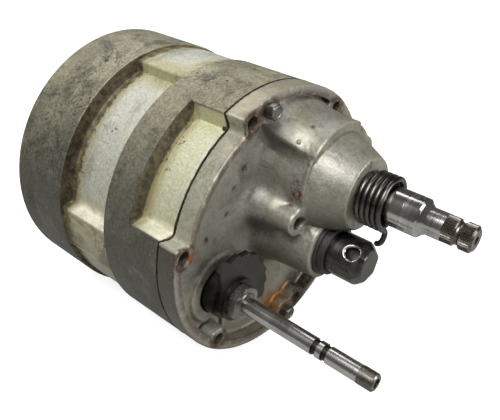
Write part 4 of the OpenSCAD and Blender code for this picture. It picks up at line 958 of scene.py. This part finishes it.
casing_piece = casing()
dress(casing_piece, FINISHES["shell_casting"])
cover_piece = cover()
dress(cover_piece, FINISHES["cover_casting"])
bead_piece = gasket_bead()
dress(bead_piece, FINISHES["gasket"])
bolt_names = ("upper_cover_bolt", "lower_cover_bolt")
bolt_pieces = [cover_bolt(angle, name) for angle, name in zip(BOLT_ANGLES, bolt_names)]
for bolt_piece in bolt_pieces:
    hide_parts("cover_bolts")
    dress(bolt_piece, FINISHES["fastener_steel"])
nose_piece = coupling()
dress(nose_piece, NOSE_FINISH)
spring_piece = return_spring()
dress(spring_piece, FINISHES["spring_steel"])


# ---- camera ----
FRAME_W, FRAME_H, SENSOR = 500, 420, 36.0
CAMERA_AT = Vector((0.2020, -0.2529, 0.2279))
CAMERA_LENS = 45.80
CAMERA_FORWARD = Vector((-0.5509, 0.6194, -0.5594))
camera_data = bpy.data.cameras.new("camera")
camera_data.lens = CAMERA_LENS
camera_data.sensor_width = SENSOR
camera_data.sensor_fit = "AUTO"
camera_data.clip_start = 0.01
camera = bpy.data.objects.new("camera", camera_data)
bpy.context.collection.objects.link(camera)
camera.location = CAMERA_AT
camera.rotation_euler = CAMERA_FORWARD.to_track_quat("-Z", "Y").to_euler()
bpy.context.scene.camera = camera
bpy.context.view_layer.update()


# ---- image points, and what is placed by them ----
# Pixels from the picture's top left corner; None where only one direction counts
IMAGE_POINTS = {
    "left edge": (17, None),
    "right edge": (483, None),
    "top edge": (None, 26),
    "bottom edge": (None, 394),
    "upper bolt head": (275, 113),
    "screw hole above the pocket": (252.4, 124),
    "screw hole below the pocket": (183.3, 258.3),
    "bottom screw hole": (220.6, 337.8),
    "blind hole": (298, 223.3),
    "cross hole": (352.8, 254.2),
    "nut": (239, 301.5),
    "push rod's end": (376.5, 381.5),
    "kick-start shaft's end": (476.5, 240.5),
    "ridge pip": (299, 142),
    "upper sealer lump": (225, 129),
    "lower sealer lump": (172, 237),
}
LONG_SIDE = max(FRAME_W, FRAME_H)
PIXELS_PER_SLOPE = LONG_SIDE * camera_data.lens / camera_data.sensor_width


def tree_of(piece):
    """Search tree of a finished piece's faces, in place."""
    corners = [piece.matrix_world @ v.co for v in piece.data.vertices]
    return BVHTree.FromPolygons(corners, [face.vertices for face in piece.data.polygons])


def place_on(tree, point):
    """Place and outward direction on a surface under an image point.

    The ray from the camera runs along (x - W/2 + shift_x L, H/2 - y + shift_y L, -L lens / sensor). If
    it misses, the place is the surface's nearest to the ray.
    """
    ray = Vector((point[0] - FRAME_W / 2 + camera_data.shift_x * LONG_SIDE,
                  FRAME_H / 2 - point[1] + camera_data.shift_y * LONG_SIDE, -PIXELS_PER_SLOPE))
    along = (camera.matrix_world.to_quaternion() @ ray).normalized()
    hit, normal = tree.ray_cast(camera.location, along)[:2]
    if hit is not None:
        return hit, normal
    tries = [tree.find_nearest(camera.location + along * far) for far in np.linspace(0.2, 0.8, 300)]
    return min(((place, out) for place, out, face, gap in tries),
               key=lambda found: (found[0] - camera.location).cross(along).length)


def lump(name, carrier, radius, height, slot):
    """A small rounded lump on a carrier's surface under its image point, with r = radius sqrt(1 - t^2).

    t runs from -1 to 1 through the surface, over twice the height.
    """
    at, out = place_on(tree_of(carrier), IMAGE_POINTS[name])
    t = np.linspace(-0.995, 0.995, 15)
    path = np.array(at) / MM + np.outer(t * height, np.array(out))
    points, faces = swept_tube(path, radius * np.sqrt(1 - t * t), 20)
    dress(make_piece(name.replace(" ", "_"), points, faces, "casing"), FINISHES[slot])


# The lower sealer lump's ray meets the casing only behind the cover, so that lump doesn't show
LUMPS = (("ridge pip", cover_piece, 1.5, 1.0, "cover_casting"),
         ("upper sealer lump", casing_piece, 1.9, 0.9, "gasket"),
         ("lower sealer lump", casing_piece, 1.5, 0.8, "gasket"))
for row in LUMPS:
    lump(*row)


# ---- floor, backdrop and light ----
def stage_material(name, colour, glow):
    """Plain pale surface that takes the object's shadow; to the camera it is brighter by glow."""
    material, s, shader, place = new_material(name, 0.0)
    seen = s.node("ShaderNodeLightPath").outputs["Is Camera Ray"]
    for label, value in (("Base Color", colour), ("Roughness", 0.9), ("Specular IOR Level", 0.0),
                         ("Emission Color", (1, 1, 1, 1)), ("Emission Strength", s.times(seen, glow))):
        s.put(shader.inputs[label], value)
    return material


def floor():
    """A flat square under the drum."""
    side, level = 4.0, (-DRUM_R - 0.1) * MM
    corners = [(-side, -side, level), (side, -side, level), (side, side, level), (-side, side, level)]
    mesh = bpy.data.meshes.new("floor")
    mesh.from_pydata(corners, [], [(0, 1, 2, 3)])
    ground = bpy.data.objects.new("floor", mesh)
    bpy.context.collection.objects.link(ground)
    mesh.materials.append(stage_material("pale_floor", (0.42, 0.42, 0.41, 1), 0.86))
    ground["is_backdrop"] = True


floor()


def lamp(name, at, target, size, power):
    """A white rectangular lamp, in metres and watts, turned towards a target."""
    data = bpy.data.lights.new(name, "AREA")
    data.shape = "RECTANGLE"
    data.size, data.size_y = size
    data.energy = power
    light = bpy.data.objects.new(name, data)
    bpy.context.collection.objects.link(light)
    light.location = at
    light.rotation_euler = (Vector(target) - Vector(at)).to_track_quat("-Z", "Y").to_euler()


lamp("key", (0.15, -0.46, 0.92), (-0.03, 0, 0), (0.55, 0.5), 13.0)
lamp("fill", (0.9, 0.3, 0.28), (0, 0, 0), (0.45, 0.5), 7.0)
lamp("back", (-0.5, 0.35, 0.8), (0, 0, 0), (0.5, 0.4), 2.5)

# The world is white to the camera and dim as a light
world = bpy.data.worlds.new("studio")
world.use_nodes = True
backdrop = world.node_tree.nodes["Background"]
backdrop.inputs["Color"].default_value = (1, 1, 1, 1)
studio = Sheet(world.node_tree)
seen_by_camera = studio.node("ShaderNodeLightPath").outputs["Is Camera Ray"]
strength = studio.node("ShaderNodeMapRange", {"Value": seen_by_camera, "To Min": 0.14})
studio.put(backdrop.inputs["Strength"], strength.outputs["Result"])
bpy.context.scene.world = world
bpy.context.scene.view_settings.view_transform = "Standard"


# ---- how far each thing shows from its image point ----
def on_image(points):
    """Image x and y of points in metres."""
    turned = np.array(camera.matrix_world.inverted())
    x, y, z = (np.asarray(points) @ turned[:3, :3].T + turned[:3, 3]).T
    return np.stack([FRAME_W / 2 - camera_data.shift_x * LONG_SIDE - x / z * PIXELS_PER_SLOPE,
                     FRAME_H / 2 + camera_data.shift_y * LONG_SIDE + y / z * PIXELS_PER_SLOPE], 1)


def finished_points(piece):
    """Vertices of a piece as finished and placed, in metres."""
    done = piece.evaluated_get(bpy.context.evaluated_depsgraph_get())
    mesh = done.to_mesh()
    points = np.empty(len(mesh.vertices) * 3)
    mesh.vertices.foreach_get("co", points)
    turned = np.array(piece.matrix_world)
    done.to_mesh_clear()
    return points.reshape(-1, 3) @ turned[:3, :3].T + turned[:3, 3]


def near_ring(points, axis, station, radius, reach=0.9):
    """Those of the points within reach, in millimetres, of a ring round a line along X."""
    x, y, z = (points / MM).T
    return points[np.hypot(x - station, np.hypot(y - axis[0], z - axis[1]) - radius) < reach]


def that_show(points, most=400, slack=0.0004):
    """Those of the points that nothing hides from the camera; of many points, only every few are tried."""
    scene, graph = bpy.context.scene, bpy.context.evaluated_depsgraph_get()
    seen = []
    for point in points[:: max(1, len(points) // most)]:
        away = Vector(point) - camera.location
        if not scene.ray_cast(graph, camera.location, away.normalized(), distance=away.length - slack)[0]:
            seen.append(point)
    return np.array(seen)


def foremost(points, depth):
    """Those of the points within a depth, in metres, of the one furthest along X."""
    return points[points[:, 0] > points[:, 0].max() - depth]


def shown_points():
    """How far, in x and y, the middle of what shows of each thing is from its image point.

    Both are null for a thing that is hidden.
    """
    pieces = {piece.name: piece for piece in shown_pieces()}
    outline = on_image(np.vstack([finished_points(piece) for piece in pieces.values()]))
    low, high = outline.min(0), outline.max(0)
    nodes = {name: finished_points(frame["nodes"][name])
             for name in ("input_nut", "clutch_push_rod", "kickstart_shaft")}
    cover_points, nose_points = finished_points(cover_piece), finished_points(nose_piece)
    x, y, z = (nose_points / MM).T
    y, z = y - OUTPUT_AXIS[0], z - OUTPUT_AXIS[1]
    from_hole = np.hypot(x - CROSS_HOLE_X, along(y, z, CROSS_HOLE_ANGLE + 90))
    hole_mouth = (np.abs(from_hole - CROSS_HOLE_R - 0.4) < 0.8) & (along(y, z, CROSS_HOLE_ANGLE) > 8)
    found = {
        "upper bolt head": finished_points(bolt_pieces[0]),
        "blind hole": near_ring(cover_points, HOLE_BOSS, HOLE_BOSS_X, HOLE_R),
        "cross hole": nose_points[hole_mouth],
        "nut": nodes["input_nut"],
        "push rod's end": foremost(nodes["clutch_push_rod"], 0.0003),
        "kick-start shaft's end": foremost(nodes["kickstart_shaft"], 0.0015),
    }
    holes = ("screw hole above the pocket", "screw hole below the pocket", "bottom screw hole")
    for name, angle in zip(holes, SCREW_ANGLES[1:]):
        found[name] = near_ring(cover_points, polar(SCREW_CIRCLE_R, angle), 0, SCREW_HOLE_R)
    for name, *rest in LUMPS:
        found[name] = finished_points(pieces[name.replace(" ", "_")])
    shown = {"left edge": (low[0], None), "right edge": (high[0], None),
             "top edge": (None, low[1]), "bottom edge": (None, high[1])}
    for name, points in found.items():
        seen = that_show(points)
        ends = on_image(seen) if len(seen) else None
        shown[name] = (None, None) if ends is None else (ends.min(0) + ends.max(0)) / 2
    return {name: [None if at is None or value is None else round(float(value - at), 1)
                   for value, at in zip(shown[name], point)] for name, point in IMAGE_POINTS.items()}


shown_points()
